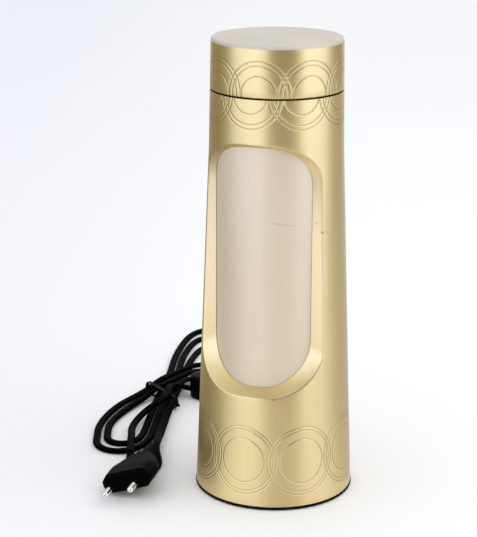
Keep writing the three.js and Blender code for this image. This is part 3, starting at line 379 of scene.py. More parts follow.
# ---- Inline switch ----
# A rocker switch on the lead: two halves moulded in black plastic and screwed together,
# tapered towards the flex, and a dished rocker that stands in a recess of the upper half.
switch_place = Matrix.Translation((-0.0776, 0.1382, 0)) @ Matrix.Rotation(math.radians(17.3), 4, "Z")
switch_outline = [
    (0.0310, -0.0045), (0.0310, 0.0045), (0.0220, 0.0125), (-0.0220, 0.0125),
    (-0.0310, 0.0045), (-0.0310, -0.0045), (-0.0220, -0.0125), (0.0220, -0.0125),
]
recess_half = (0.0074, 0.0055)
recess_floor = 0.0110
switch_parting = (0.0090, 0.0093)
switch_high = 0.0180
pivot_height = 0.0142
rocker_tilt = math.radians(8)
case_low = 0.0003
case_corner = 0.0034
lower_rim, upper_rim, recess_rim = 0.0018, 0.0026, 0.0004
rocker_half, rocker_top, rocker_dish = 0.0068, 0.0200, 0.0012
rocker_width = 0.010


def block(outline, way):
    """A face through the outline's points, raised to a solid block."""
    mesh = bmesh.new()
    face = mesh.faces.new([mesh.verts.new(point) for point in outline])
    raised = bmesh.ops.extrude_face_region(mesh, geom=[face])["geom"]
    bmesh.ops.translate(mesh, vec=way,
                        verts=[part for part in raised if isinstance(part, bmesh.types.BMVert)])
    bmesh.ops.recalc_face_normals(mesh, faces=mesh.faces[:])
    return mesh


def rounded(mesh, edges, radius, segments):
    """Rounds some edges of a mesh."""
    bmesh.ops.bevel(mesh, geom=edges, offset=radius, segments=segments, profile=0.5,
                    affect="EDGES", material=-1)


def moulded_half(low, high, outer_level, rim_radius):
    """Half a case: its outline raised to a block, its corners and its outer rim rounded."""
    mesh = block([(x, y, low) for x, y in switch_outline], (0, 0, high - low))
    rounded(mesh, [edge for edge in mesh.edges
                   if abs(edge.verts[0].co.z - edge.verts[1].co.z) > 1e-6], case_corner, 6)
    rounded(mesh, [edge for edge in mesh.edges if all(
        abs(vert.co.z - outer_level) < 1e-7 for vert in edge.verts)], rim_radius, 5)
    return mesh


def sliced(mesh, axis, places):
    """Cuts the whole mesh across an axis at each place."""
    normal = [0, 0, 0]
    normal[axis] = 1
    for place in places:
        point = [0, 0, 0]
        point[axis] = place
        bmesh.ops.bisect_plane(mesh, geom=mesh.verts[:] + mesh.edges[:] + mesh.faces[:],
                               plane_co=point, plane_no=normal, dist=1e-7)


switch_black = Finish("switch_black", (0.001, 0.001, 0.0015), 0.38, Specular_IOR_Level=0.03)
switch_black.emboss(switch_black.noise(2200, 2), 0.00003)
switch_black.feed("Roughness", switch_black.noise(70, 3) * 0.18 + 0.30)
lower_half = moulded_half(case_low, switch_parting[0], case_low, lower_rim)
moved(lower_half, switch_place)
switch_lower = stand("switch_case_below", lower_half, switch_black, "housing",
                     ("switch_case_lower",))
upper_half = moulded_half(switch_parting[1], switch_high, switch_high, upper_rim)
sliced(upper_half, 0, (-recess_half[0], recess_half[0]))
sliced(upper_half, 1, (-recess_half[1], recess_half[1]))
lid = [face for face in upper_half.faces if face.normal.z > 0.99
       and abs(face.calc_center_median().x) < recess_half[0]
       and abs(face.calc_center_median().y) < recess_half[1]]
sunk = bmesh.ops.extrude_face_region(upper_half, geom=lid)["geom"]
bmesh.ops.delete(upper_half, geom=lid, context="FACES")
for part in sunk:
    if isinstance(part, bmesh.types.BMVert):
        part.co.z = recess_floor
bmesh.ops.recalc_face_normals(upper_half, faces=upper_half.faces[:])
lip = [edge for edge in upper_half.edges if all(
    abs(vert.co.z - switch_high) < 1e-7 and abs(vert.co.x) < recess_half[0] + 1e-6
    and abs(vert.co.y) < recess_half[1] + 1e-6 for vert in edge.verts)
    and edge.calc_face_angle(0) > 1]
rounded(upper_half, lip, recess_rim, 3)
moved(upper_half, switch_place)
switch_upper = stand("switch_case_above", upper_half, switch_black, "housing",
                     ("switch_case_upper",))

rocker_outline = [(-0.0045, 0.0120), (0.0045, 0.0120), (rocker_half, 0.0160),
                  (rocker_half, 0.0198)]
rocker_outline += [(0.0060 - 0.0012 * i,
                    rocker_top - rocker_dish * math.cos(math.radians(90 * (i / 5 - 1))))
                   for i in range(11)]
rocker_outline += [(-rocker_half, 0.0198), (-rocker_half, 0.0160)]
rocker = block([(x, -rocker_width / 2, z) for x, z in rocker_outline], (0, rocker_width, 0))
rounded(rocker, [edge for edge in rocker.edges if edge.calc_face_angle(0) > 0.6], 0.0005, 3)
tilted = (switch_place @ Matrix.Translation((0, 0, pivot_height))
          @ Matrix.Rotation(rocker_tilt, 4, "Y") @ Matrix.Translation((0, 0, -pivot_height)))
moved(rocker, tilted)
rocker_black = Finish("rocker_black", (0.002, 0.002, 0.003), 0.30, Specular_IOR_Level=0.06)
rocker_black.emboss(rocker_black.noise(1800, 2), 0.00002)
rocker_black.feed("Roughness", rocker_black.noise(120, 3) * 0.16 + 0.24)
rocker_key = stand("rocker_key", rocker, rocker_black, "rocker",
                   ("switch_rocker",))


# ---- Plug ----
# A flat two-pin plug moulded in black PVC onto the flex: a wide bevelled head, a waist for
# the fingers, a collar and a ribbed tail. The plated pins stand in insulating sleeves.
plug_place = (Matrix.Translation((-0.0816, -0.0624, 0.0120))
              @ Matrix.Rotation(math.radians(4.1), 4, "Z") @ Matrix.Rotation(-plug_roll, 4, "Y"))
head_width = 0.0353
head_thickness = 0.0137
pin_half_spacing = 0.00895
bevel_share, waist_share, side_share, corner_share = 0.64, 0.5, 0.32, 0.16
plug_stations = [
    (0.0000, 0.88, 0.80), (0.0006, 0.93, 0.90), (0.0020, 0.99, 1.00), (0.0100, 1.00, 1.00),
    (0.0165, 1.00, 1.00), (0.0172, 0.99, 0.99), (0.0240, 0.86, 0.92), (0.0320, 0.67, 0.92),
    (0.0356, 0.57, 0.92), (0.0362, 0.54, 0.86), (0.0366, 0.36, 0.70), (0.0374, 0.36, 0.70),
    (0.0378, 0.41, 0.80), (0.0381, 0.42, 0.83), (0.0405, 0.42, 0.83), (0.0409, 0.40, 0.79),
    (0.0413, 0.31, 0.64),
]
plug_ribs, plug_rib_start, plug_rib_pitch = 6, 0.0424, 0.0034
plug_rib = ((0, 0, 0), (0.0019, 0.008, 0.02), (0.0022, 0.05, 0.11), (0.0030, 0.055, 0.12))
for i in range(plug_ribs):
    plug_stations += [(plug_rib_start + plug_rib_pitch * i + y,
                       0.325 - 0.018 * i - narrower, 0.66 - 0.045 * i - flatter)
                      for y, narrower, flatter in plug_rib]
plug_stations += [(0.0630, 0.215, 0.40), (0.0640, 0.20, 0.36)]


def plug_ring(y, across, tall, steps=4):
    """A bevelled oblong with its eight corners rounded, as shares of the head's size."""
    x, z = head_width * across / 2, head_thickness * tall / 2
    bevel, side = min(z * bevel_share, x * waist_share), z * side_share
    corners = [(x, -side), (x, side), (x - bevel, z), (bevel - x, z), (-x, side), (-x, -side),
               (bevel - x, -z), (x - bevel, -z)]
    ring = []
    for i, corner in enumerate(corners):
        here = Vector(corner)
        ends = [here.lerp(Vector(beside), corner_share)
                for beside in (corners[i - 1], corners[(i + 1) % len(corners)])]
        for j in range(steps + 1):
            t = j / steps
            point = ends[0] * (1 - t) ** 2 + here * 2 * t * (1 - t) + ends[1] * t ** 2
            ring.append(Vector((point.x, y, point.y)))
    return ring


head_skin = drawn([plug_ring(*station) for station in plug_stations])
moved(head_skin, plug_place)
plug_black = Finish("plug_black", (0.001, 0.0012, 0.0015), 0.42, Specular_IOR_Level=0.014)
plug_black.emboss(plug_black.noise(1500, 3), 0.00006)
plug_black.feed("Roughness", plug_black.noise(60, 3) * 0.2 + 0.32)
plug_head = stand("plug_head", head_skin, plug_black, "housing", ("plug_body",), 24)

pin_profile = [
    (0, 0.0103), (0.0020, 0.0103), (0.0020, 0.0172), (0.00195, 0.0178), (0.0017, 0.0184),
    (0.0013, 0.0188), (0.0007, 0.0190), (0.0005, 0.0188), (0.0005, 0.0172), (0, 0.0172),
]
insulator_profile = [
    (0, 0.0003), (0.00185, 0.0003), (0.00185, 0.0094), (0.0017, 0.0100), (0, 0.0100),
]
pin_nickel = Finish("pin_nickel", (0.78, 0.77, 0.74), 0.22, 1.0)
pin_scratches = pin_nickel.noise(1.0, 4, (900, 120, 900))
pin_nickel.feed("Roughness", pin_scratches * 0.2 + 0.14)
pin_nickel.feed("Base Color", pin_nickel.blend(
    pin_scratches.ease(0.5, 0.8), (0.80, 0.79, 0.76), (0.55, 0.53, 0.49)))
for number, side in ((1, -1), (2, 1)):
    forward = (plug_place @ Matrix.Translation((side * pin_half_spacing, 0, 0))
               @ Matrix.Rotation(math.radians(90), 4, "X"))
    stand(f"pin_{number}", turned(pin_profile, 32, forward), pin_nickel,
                           "housing", (f"plug_pin_{number}",))
    stand(f"pin_insulator_{number}", turned(insulator_profile, 32, forward),
                           plug_black, "housing",
                           (f"plug_pin_sleeve_{number}",))


# ---- Twist tie ----
# A flat plastic strip with a wire core is wrapped round the crossing strands, and its two
# ends are twisted together into a short tail.
hank_heading, tie_slant = 97.1, 43.8
tie_place = (Matrix.Translation((-0.124405, 0.112973, 0))
             @ Matrix.Rotation(math.radians(hank_heading + tie_slant), 4, "Z"))
tie_half_length = 0.0228
tie_half_height = 0.0047
tie_low = 0.0001
tie_thickness = 0.0007
tie_width = 0.0030
tie_section = ((-1, -0.5), (-1, 0.4), (-0.85, 1), (-0.3, 1), (-0.2, 0.7), (0.2, 0.7),
               (0.3, 1), (0.85, 1), (1, 0.4), (1, -0.5), (0.85, -1), (-0.85, -1))
tail_root, tail_length, tail_droop = 0.0012, 0.0038, 0.0008
tail_swing, tail_strand, tail_turns = 0.00075, 0.0006, 1.1
tail_steps = 36


def tie_station(share):
    """A point on the strip's middle line round the bundle, and the way out from it."""
    end = tie_half_length - tie_half_height
    radius = tie_half_height - tie_thickness / 2
    bend = math.pi * radius
    walked = share * 2 * (2 * end + bend)
    side = 1
    if walked > 2 * end + bend:
        walked -= 2 * end + bend
        side = -1
    if walked <= bend:
        angle = (walked / bend - 0.5) * math.pi
        out = Vector((side * math.cos(angle), 0, side * math.sin(angle)))
        return Vector((side * end, 0, 0)) + out * radius, out
    out = Vector((0, 0, side))
    return Vector((side * (end - walked + bend), 0, 0)) + out * radius, out


tie_rings = []
tie_steps = 96
for i in range(tie_steps + 1):
    middle, out = tie_station(i / tie_steps)
    middle = middle + Vector((0, 0, tie_low + tie_half_height))
    tie_rings.append([middle + out * (depth * tie_thickness / 2)
                      + Vector((0, width * tie_width / 2, 0)) for width, depth in tie_section])
tie = drawn(tie_rings, ends=False)
bmesh.ops.remove_doubles(tie, verts=tie.verts[:], dist=1e-5)
bmesh.ops.recalc_face_normals(tie, faces=tie.faces[:])
for strand in (0, 1):
    rings = []
    for i in range(tail_steps + 1):
        t = i / tail_steps
        angle = math.pi * strand + math.tau * tail_turns * t
        centre = Vector((tail_root - tie_half_length - tail_length * t,
                         tail_swing * math.cos(angle),
                         tie_half_height - tail_droop * t + tail_swing * math.sin(angle)))
        rings.append([centre + Vector((0, tail_strand * math.cos(a), tail_strand * math.sin(a)))
                      for a in (math.tau * j / 10 for j in range(10))])
    tail = drawn(rings)
    part = bpy.data.meshes.new("tail")
    tail.to_mesh(part)
    tail.free()
    tie.from_mesh(part)
    bpy.data.meshes.remove(part)
moved(tie, tie_place)
tie_black = Finish("tie_black", (0.001, 0.001, 0.0015), 0.35, Specular_IOR_Level=0.04)
tie_black.emboss(tie_black.noise(1200, 2), 0.00004)
tie_black.feed("Roughness", tie_black.noise(150, 2) * 0.2 + 0.26)
twist_tie = stand("twist_tie", tie, tie_black, "housing", ("cord_tie",), 40)


# ---- Tower shell ----
# One tapered tube of gold-plated metal, spun or drawn, with a tall window: a low arch above
# and round corners below. The window's lip is pressed in as far as the sleeve. Bands of
# interlocked rings are engraved round the foot and across the seam under the cap.
lamp_height = 0.300
foot_radius = 0.05185
bend_height = 0.230
bend_radius = 0.0432
top_radius = 0.0420
seam_low, seam_high = 0.2669, 0.2679
shell_low = 0.0023
wall_thickness = 0.0012
lip_radius = 0.0395
# Each edge of the lip: its lower and its upper end, and half its width at each
window_inner = (0.0800, 0.2366, 0.0325, 0.0325)
window_outer = (0.0758, 0.2386, 0.0422, 0.0380)
inner_corner, outer_corner = (0.0280, 0.0285), (0.0310, 0.0265)
inner_arch, outer_arch = 0.0260, 0.0265
arch_fullness = 2.4
arch_end = 0.0040
window_shift = -0.0010
edge_round = 0.0006
round_steps = 5
lip_shares = (0.4, 0.75, 1)
lip_inside = lip_radius - 0.0001


def tower_radius(height):
    """Radius of the tower's outside at a height."""
    if height < bend_height:
        return foot_radius + (bend_radius - foot_radius) * height / bend_height
    return bend_radius + ((top_radius - bend_radius) * (height - bend_height)
                          / (lamp_height - bend_height))


def window_outline(low, high, half_low, half_high, corner, arch=None, arc=18, side=26, end=6):
    """Points round an upright window from the front, counterclockwise, with their way out.
    corner is how wide and how tall each corner is: a quarter of an ellipse. With an arch,
    its height, each upper quarter is a little fuller and reaches almost to the middle."""
    def half(z):
        return half_low + (half_high - half_low) * (z - low) / (high - low)
    points = []
    for sideways, upward, start in ((1, -1, -90), (1, 1, 0), (-1, 1, 90), (-1, -1, 180)):
        wide, tall = (half_high - arch_end, arch) if arch and upward > 0 else corner
        power = arch_fullness if arch and upward > 0 else 2
        level = low + tall if upward < 0 else high - tall
        for i in range(arc + 1):
            angle = math.radians(start + 90 * i / arc)
            across, rise = (math.copysign(abs(reach) ** (2 / power), reach)
                            for reach in (math.cos(angle), math.sin(angle)))
            z = level + tall * rise
            way = Vector((sideways * abs(across) ** (power - 1) / wide,
                          upward * abs(rise) ** (power - 1) / tall)).normalized()
            points.append((sideways * (half(z) - wide) + wide * across, z, *way))
        here = points[-1]
        if sideways * upward < 0:
            far_level = high - (arch or corner[1]) if upward < 0 else low + corner[1]
            for i in range(1, side):
                z = here[1] + (far_level - here[1]) * i / side
                points.append((sideways * half(z), z, sideways, 0))
        else:
            for i in range(1, end):
                points.append((here[0] * (1 - 2 * i / end), here[1], 0, upward))
    return points


def on_wall(x, z, radius):
    """A point of a round wall seen from the front."""
    return Vector((x, -math.sqrt(radius * radius - x * x), z))


def bent_wall(loops, low, high, radius_at, spread, heights, facing=0.0, columns=240):
    """A round wall with a window: laid out flat, cut to a fine grid and bent to its radius.
    loops are the rings of the window's lip, the first of them on the wall. spread is the
    radius at which it is laid out, and facing is how far the window is turned."""
    flat_loops = [[Vector((math.atan2(point.x, -point.y) * spread, radius_at(point.z)
                           - math.hypot(point.x, point.y), point.z)) for point in loop]
                  for loop in loops]
    for point in flat_loops[0]:
        point.y = 0
    mesh = drawn(flat_loops, ends=False)
    hole = [edge for edge in mesh.edges if all(abs(vert.co.y) < 1e-9 for vert in edge.verts)]
    half = math.pi * spread
    border_verts = [mesh.verts.new(corner) for corner in
                    ((-half, 0, low), (half, 0, low), (half, 0, high), (-half, 0, high))]
    border = [mesh.edges.new((a, b)) for a, b in
              zip(border_verts, border_verts[1:] + border_verts[:1])]
    bmesh.ops.triangle_fill(mesh, use_beauty=True, use_dissolve=False, edges=hole + border,
                            normal=(0, -1, 0))
    sliced(mesh, 0, [half * (2 * i / columns - 1) for i in range(1, columns)])
    sliced(mesh, 2, heights)
    slanted = [edge for edge in mesh.edges if len(edge.link_faces) == 2
               and all(abs(vert.co.y) < 1e-9 for face in edge.link_faces for vert in face.verts)
               and min(abs(edge.verts[0].co.x - edge.verts[1].co.x),
                       abs(edge.verts[0].co.z - edge.verts[1].co.z)) > 1e-7]
    bmesh.ops.dissolve_edges(mesh, edges=slanted, use_verts=True, use_face_split=False)
    for vert in mesh.verts:
        angle = vert.co.x / spread + facing
        radius = radius_at(vert.co.z) - vert.co.y
        vert.co = (radius * math.sin(angle), -radius * math.cos(angle), vert.co.z)
    bmesh.ops.remove_doubles(mesh, verts=mesh.verts[:], dist=1e-6)
    bmesh.ops.recalc_face_normals(mesh, faces=mesh.faces[:])
    out = sum(face.normal.x * face.calc_center_median().x + face.normal.y
              * face.calc_center_median().y for face in mesh.faces)
    if out < 0:
        bmesh.ops.reverse_faces(mesh, faces=mesh.faces[:])
    return mesh


def walled(mesh, thickness):
    """Gives a skin its wall, inwards."""
    bmesh.ops.solidify(mesh, geom=mesh.verts[:] + mesh.edges[:] + mesh.faces[:],
                       thickness=thickness)


outer_edge = window_outline(*window_outer, outer_corner, outer_arch)
inner_edge = window_outline(*window_inner, inner_corner, inner_arch)
lip_loops = [[] for _ in range(round_steps + 1 + len(lip_shares))]
for (x, z, way_x, way_z), (inner_x, inner_z, _, _) in zip(outer_edge, inner_edge):
    corner = on_wall(x + window_shift, z, tower_radius(z))
    inner = on_wall(inner_x + window_shift, inner_z, lip_radius)
    beside = on_wall(x + window_shift + way_x * edge_round, z + way_z * edge_round,
                     tower_radius(z + way_z * edge_round))
    inward = corner + (inner - corner).normalized() * edge_round
    for i in range(round_steps + 1):
        t = i / round_steps
        lip_loops[i].append(beside * (1 - t) ** 2 + corner * 2 * t * (1 - t) + inward * t * t)
    for loop, t in zip(lip_loops[round_steps + 1:], lip_shares):
        loop.append(inward.lerp(inner, t))

# The bands' height, ring radii, spacing and first angle, in millimetres and degrees
ring_turn = -6.1
ring_pitch = 45
band_low = (33.0, (23.0, 20.8, 15.0), 39.7, ring_turn)
band_high = (269.5, (21.0, 18.2, 11.75), 33.2, ring_turn)
ring_half_width = 0.75
ring_depth = 0.00021
wall_width_of_degree = 0.75
# Heights between which painted light makes the lip's plate paler and then fades out again, and how
# far under the top the flat top's matte finish and its painted reflection of the ceiling begin and
# are full
lip_painted_light_from, lip_painted_light_to = (80, 118), (200, 238)
matte_top_reflection_from, matte_top_reflection_full = 2.7, 1.3


def gold_finish(name, bands, nicks):
    """Satin gold plate with engraved bands and nicks. A nick is its angle, height and size. The
    grooves are darkened with painted shade, the window's lip is painted paler with painted light,
    and the flat top is matte and painted a paler, greyer colour as a painted reflection of the
    ceiling.
    """
    gold = Finish(name, (0.67, 0.522, 0.24), 0.42, 1.0, Anisotropic=0.68,
                  Anisotropic_Rotation=0.25, Coat_Weight=0.4, Coat_Roughness=0.3)
    turn = gold.x.math("ARCTAN2", gold.y * -1) * (180 / math.pi)
    height = gold.z * 1000
    groove = None
    for middle, radii, spacing, first in bands:
        near = ((turn - first) / ring_pitch).math("PINGPONG", 0.5) * spacing
        rise = (height - middle) ** 2
        for side in (near, spacing - near):
            reach = (side * side + rise) ** 0.5
            for radius in radii:
                line = abs(reach - radius)
                groove = line if groove is None else groove.math("MINIMUM", line)
    # The grooves are cut by the bump below, and their colour is also darkened with painted shade.
    cut = 1 - groove.ease(0.05, ring_half_width)
    dents = None
    for angle, level, size in nicks:
        spot = (((turn - angle) * wall_width_of_degree) ** 2 + (height - level) ** 2) ** 0.5
        dent = 1 - spot.ease(size * 0.3, size)
        dents = dent if dents is None else dents + dent
    cloud = gold.noise(22, 3)
    speckle = gold.noise(420, 2).ease(0.66, 0.80)
    # The flat top: a matte finish, and a paler, greyer colour that is a painted reflection of the
    # ceiling.
    matte_top_and_reflection = height.ease(lamp_height * 1000 - matte_top_reflection_from, lamp_height * 1000 - matte_top_reflection_full)
    low_wall = height * ((bend_radius - foot_radius) / bend_height) + foot_radius * 1000
    high_slope = (top_radius - bend_radius) / (lamp_height - bend_height)
    high_wall = height * high_slope + (bend_radius - bend_height * high_slope) * 1000
    depth = (low_wall.math("MAXIMUM", high_wall)
             - (gold.x * gold.x + gold.y * gold.y) ** 0.5 * 1000)
    # Painted light: between these heights the window's recessed lip is painted paler and less
    # metallic, as though lit.
    lip = (depth.ease(0.15, 0.5) * height.ease(*lip_painted_light_from)
           * (1 - height.ease(*lip_painted_light_to)))
    plate = gold.blend(cloud.ease(0.35, 0.7), (0.66, 0.513, 0.236), (0.68, 0.530, 0.250))
    plate = gold.blend(lip, plate, (0.80, 0.645, 0.375))
    plate = gold.blend(matte_top_and_reflection, plate, (0.575, 0.525, 0.44))
    gold.feed("Base Color", gold.blend(
        (cut * 0.28 + dents * 0.8 + speckle * 0.10).math("MINIMUM", 1.0), plate,
        (0.30, 0.21, 0.08)))
    gold.feed("Metallic", 1 - lip * 0.6 - matte_top_and_reflection * 0.85)
    gold.feed("Roughness", cloud * 0.08 + 0.345 + cut * 0.08 + speckle * 0.08 + matte_top_and_reflection * 0.3)
    gold.emboss(1 - cut - dents * 0.4, ring_depth)
    return gold


gold_shell = gold_finish("gold_shell", (band_low, band_high),
                         ((17.3, 75.4, 0.9), (58.6, 182.0, 1.0), (55.4, 188.0, 0.6)))
shell_spread = 0.050
shell_rows, shell_row_height, shell_rim_row = 34, 0.008, 0.0003
shell_heights = [i * shell_row_height for i in range(1, shell_rows)]
shell_heights += [bend_height, shell_low + shell_rim_row, seam_low - shell_rim_row]
shell_skin = bent_wall(lip_loops, shell_low, seam_low, tower_radius, shell_spread, shell_heights)
walled(shell_skin, wall_thickness)
for vert in shell_skin.verts:
    reach = math.hypot(vert.co.x, vert.co.y)
    if reach < lip_inside:
        vert.co.xy *= lip_inside / reach
stand("tower_shell", shell_skin, gold_shell, "housing", ("outer_shell",), 40)


# ---- Shutter sleeve ----
# A tube of satin champagne metal that hangs from the cap, screwed to it through a plate.
# Its closed half stands in the window; its opening faces the back until the cap is turned.
sleeve_radius = 0.0392
sleeve_low, sleeve_top = 0.025, 0.286
sleeve_wall = 0.0011
sleeve_opening = (0.078, 0.239, 0.0327, 0.0327)
opening_corner = (0.026, 0.026)
opening_round = 0.0003
sleeve_rows, row_height = 29, 0.009
# The faint scratch: height in millimetres, fall for each degree, and its two soft ends
scratch_level, scratch_fall = 190.6, 0.105
scratch_start, scratch_end = (11.5, 14.5), (32.0, 36.0)
sleeve_edge = window_outline(*sleeve_opening, opening_corner)
sleeve_rim = [on_wall(x, z, sleeve_radius) for x, z, _, _ in sleeve_edge]
sleeve_side = [on_wall(x - way_x * opening_round, z - way_z * opening_round,
                       sleeve_radius - opening_round) for x, z, way_x, way_z in sleeve_edge]
sleeve_satin = Finish("sleeve_satin", (0.68, 0.58, 0.435), 0.45, 0.38)
sleeve_turn = sleeve_satin.x.math("ARCTAN2", sleeve_satin.y * -1) * (180 / math.pi)
sleeve_height = sleeve_satin.z * 1000
scratch_line = abs(sleeve_height - (scratch_level - sleeve_turn * scratch_fall))
scratch = ((1 - scratch_line.ease(0.15, 0.55))
           * sleeve_turn.ease(*scratch_start) * (1 - sleeve_turn.ease(*scratch_end)))
sleeve_cloud = sleeve_satin.noise(18, 3)
sleeve_brush = sleeve_satin.noise(1.0, 3, (500, 500, 40))
sleeve_satin.feed("Base Color", sleeve_satin.blend(
    scratch * 0.24, sleeve_satin.blend(sleeve_cloud.ease(0.3, 0.75), (0.665, 0.567, 0.425),
                                      (0.690, 0.589, 0.443)), (0.33, 0.27, 0.19)))
sleeve_satin.feed("Roughness", sleeve_cloud * 0.10 + sleeve_brush * 0.06 + 0.36)
sleeve_satin.emboss(sleeve_brush * 0.08 - scratch, 0.00012)
sleeve_skin = bent_wall([sleeve_rim, sleeve_side], sleeve_low, sleeve_top,
                        lambda height: sleeve_radius, sleeve_radius,
                        [sleeve_low + row_height * i for i in range(1, sleeve_rows)],
                        facing=math.pi)
walled(sleeve_skin, sleeve_wall)
stand("shutter_tube", sleeve_skin, sleeve_satin, "turning_head",
      ("shutter_sleeve",), 40)


# ---- Cap ----
# The turning head's cap is drawn from the same gold-plated metal, with a softly rounded
# top edge. Screws from below hold the sleeve's plate to its three bosses.
cap_low = seam_high
cap_inside, cap_roof = 0.0400, 0.2980
cap_edge_wide, cap_edge_tall = 0.0011, 0.0026
boss_radius, boss_length, boss_reach, boss_middle = 0.0036, 0.0087, 0.028, 0.29375
cap_ring_turn = 1.7
cap_profile = [(0, lamp_height)] + [(r, lamp_height) for r in (0.010, 0.020, 0.030, 0.0400)]
cap_profile += [(top_radius - cap_edge_wide + cap_edge_wide * math.sin(math.radians(a)),
                 lamp_height - cap_edge_tall + cap_edge_tall * math.cos(math.radians(a)))
                for a in range(0, 91, 9)]
cap_profile += [(tower_radius(z), z) for z in (0.296, 0.290, 0.284, 0.278, 0.272, 0.2686)]
cap_profile += [(tower_radius(cap_low) - 0.00015, cap_low + 0.00025),
                (tower_radius(cap_low) - 0.0005, cap_low), (0.0404, cap_low), (0.0402, 0.2684),
                (cap_inside, 0.2900), (cap_inside, cap_roof), (0, cap_roof)]
cap_shell = turned(cap_profile, 240)
for angle in (26.3, 153.7, 270.0):
    place = Matrix.Translation((boss_reach * math.cos(math.radians(angle)),
                                boss_reach * math.sin(math.radians(angle)), boss_middle))
    bmesh.ops.create_cone(cap_shell, cap_ends=True, segments=32, radius1=boss_radius,
                          radius2=boss_radius, depth=boss_length, matrix=place)
gold_cap = gold_finish("gold_cap", ((*band_high[:3], cap_ring_turn),),
                       ((-8.7, 288.5, 0.7), (-0.7, 281.5, 0.6)))
stand("cap_cover", cap_shell, gold_cap, "turning_head", ("cap",), 40)


# ---- Diffuser ----
# An opal acrylic tube, extruded and cut to length, stands on the collar inside the sleeve
# and spreads the lamp's light. A vented lid of the same opal closes it.
diffuser_profile = [
    (0.0353, 0.0240), (0.0362, 0.0240), (0.0365, 0.0243), (0.0365, 0.2557), (0.0362, 0.2560),
    (0.0353, 0.2560), (0.0350, 0.2557), (0.0350, 0.0243), (0.0353, 0.0240),
]
opal = Finish("opal_acrylic", (0.90, 0.89, 0.86), 0.35)
opal.feed("Base Color", opal.blend(opal.noise(30, 3), (0.88, 0.87, 0.84), (0.92, 0.91, 0.88)))
opal.feed("Roughness", opal.noise(80, 2) * 0.14 + 0.28)
opal.emboss(opal.noise(300, 2), 0.00002)
stand("opal_diffuser", turned(diffuser_profile, 160), opal, "housing",
      ("diffuser_tube",))


# ---- Feet ----
# Four soft rubber discs, moulded with a rounded rim, are stuck under the base plate and lift
# it off the table.
foot_profile = [
    (0, 0), (0.0030, 0.0001), (0.0034, 0), (0.0050, 0), (0.0056, 0.0002), (0.0060, 0.0007),
    (0.0060, 0.0018), (0.0058, 0.0020), (0, 0.0020),
]
foot_rubber = Finish("foot_rubber", (0.020, 0.020, 0.020), 0.85, Specular_IOR_Level=0.25)
foot_rubber.emboss(foot_rubber.noise(2500, 3), 0.00006)
foot_rubber.feed("Base Color", foot_rubber.blend(
    foot_rubber.noise(400, 3), (0.015, 0.015, 0.015), (0.030, 0.029, 0.028)))
for number, place in enumerate(((0.042, 0), (0, 0.042), (-0.042, 0), (0, -0.042)), 1):
    stand(f"rubber_foot_{number}", turned(foot_profile, 48, Matrix.Translation((*place, 0))),
          foot_rubber, "housing", (f"foot_{number}",))


# ---- Inner parts ----
# The base plate, the lampholder with its lamp and wires, the screws and the other hidden
# pieces keep their CAD shapes and are given their own finishes.
def speckled(name, colour, other, roughness, metallic=0.0, scale=300, depth=0.00003, **constants):
    """A plain moulded, pressed or plated finish with fine grain."""
    made = Finish(name, colour, roughness, metallic, **constants)
    grain = made.noise(scale, 3)
    made.feed("Base Color", made.blend(grain.ease(0.35, 0.75), colour, other))
    made.feed("Roughness", grain * 0.16 + roughness - 0.08)
    made.emboss(grain, depth)
    return made


base_black = speckled("base_black", (0.002, 0.002, 0.002), (0.005, 0.005, 0.005), 0.5, scale=900,
                      Specular_IOR_Level=0.05)
white_plastic = speckled("white_plastic", (0.80, 0.80, 0.77), (0.74, 0.73, 0.69), 0.45)
screw_steel = speckled("screw_steel", (0.62, 0.61, 0.58), (0.50, 0.49, 0.46), 0.35, 1.0, 800)
bracket_steel = speckled("bracket_steel", (0.58, 0.58, 0.57), (0.48, 0.48, 0.47), 0.42, 1.0, 120)
contact_brass = speckled("contact_brass", (0.72, 0.52, 0.22), (0.60, 0.40, 0.16), 0.34, 1.0, 500)
holder_nickel = speckled("holder_nickel", (0.72, 0.71, 0.68), (0.60, 0.58, 0.54), 0.28, 1.0, 400)
live_brown = speckled("live_brown", (0.10, 0.035, 0.015), (0.13, 0.05, 0.02), 0.5, scale=700)
neutral_blue = speckled("neutral_blue", (0.015, 0.07, 0.30), (0.02, 0.09, 0.36), 0.5, scale=700)
kept = {
    base_black: ("base_plate", "glide_ring", "sleeve_carrier"),
    opal: ("diffuser_lid", "bulb_globe"),
    white_plastic: ("lampholder_body", "bulb_housing", "cord_clamp"),
    screw_steel: ("base_screw_", "bracket_screw_", "cap_screw_", "clamp_screw_", "switch_screw_",
                  "switch_pin"),
    bracket_steel: ("holder_bracket",),
    contact_brass: ("lampholder_contact", "bulb_tip_contact", "switch_contact"),
    holder_nickel: ("lampholder_thread", "bulb_screw_cap"),
    live_brown: ("wire_live",),
    neutral_blue: ("wire_neutral",),
    flex_sheath: ("cord_inside",),
}
for finish, starts in kept.items():
    for name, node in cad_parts.items():
        if name.startswith(starts):
            for holder in node.material_slots:
                holder.material = finish.material


# ---- Table and light ----
# A white sheet under the lamp, painted with a bluish shade that deepens towards its left, an even
# pale sky, one broad soft light, and a low round glowing screen that only gleaming surfaces mirror,
# as they would the room round a studio table; its glow paints those reflections.
table = bmesh.new()
bmesh.ops.create_grid(table, x_segments=8, y_segments=8, size=6)
paper = Finish("paper", (0.93, 0.93, 0.94), 0.9, Specular_IOR_Level=0.1)
# Painted shade: the sheet is painted darker and bluer towards its left, where less light falls.
paper_painted_shade = (paper.x * 0.948 + paper.y * 0.319).ease(-0.36, 0.08)
paper.feed("Base Color", paper.blend(paper_painted_shade, (0.858, 0.874, 0.912), (0.930, 0.932, 0.940)))
table_sheet = shown("table_sheet", table, paper)
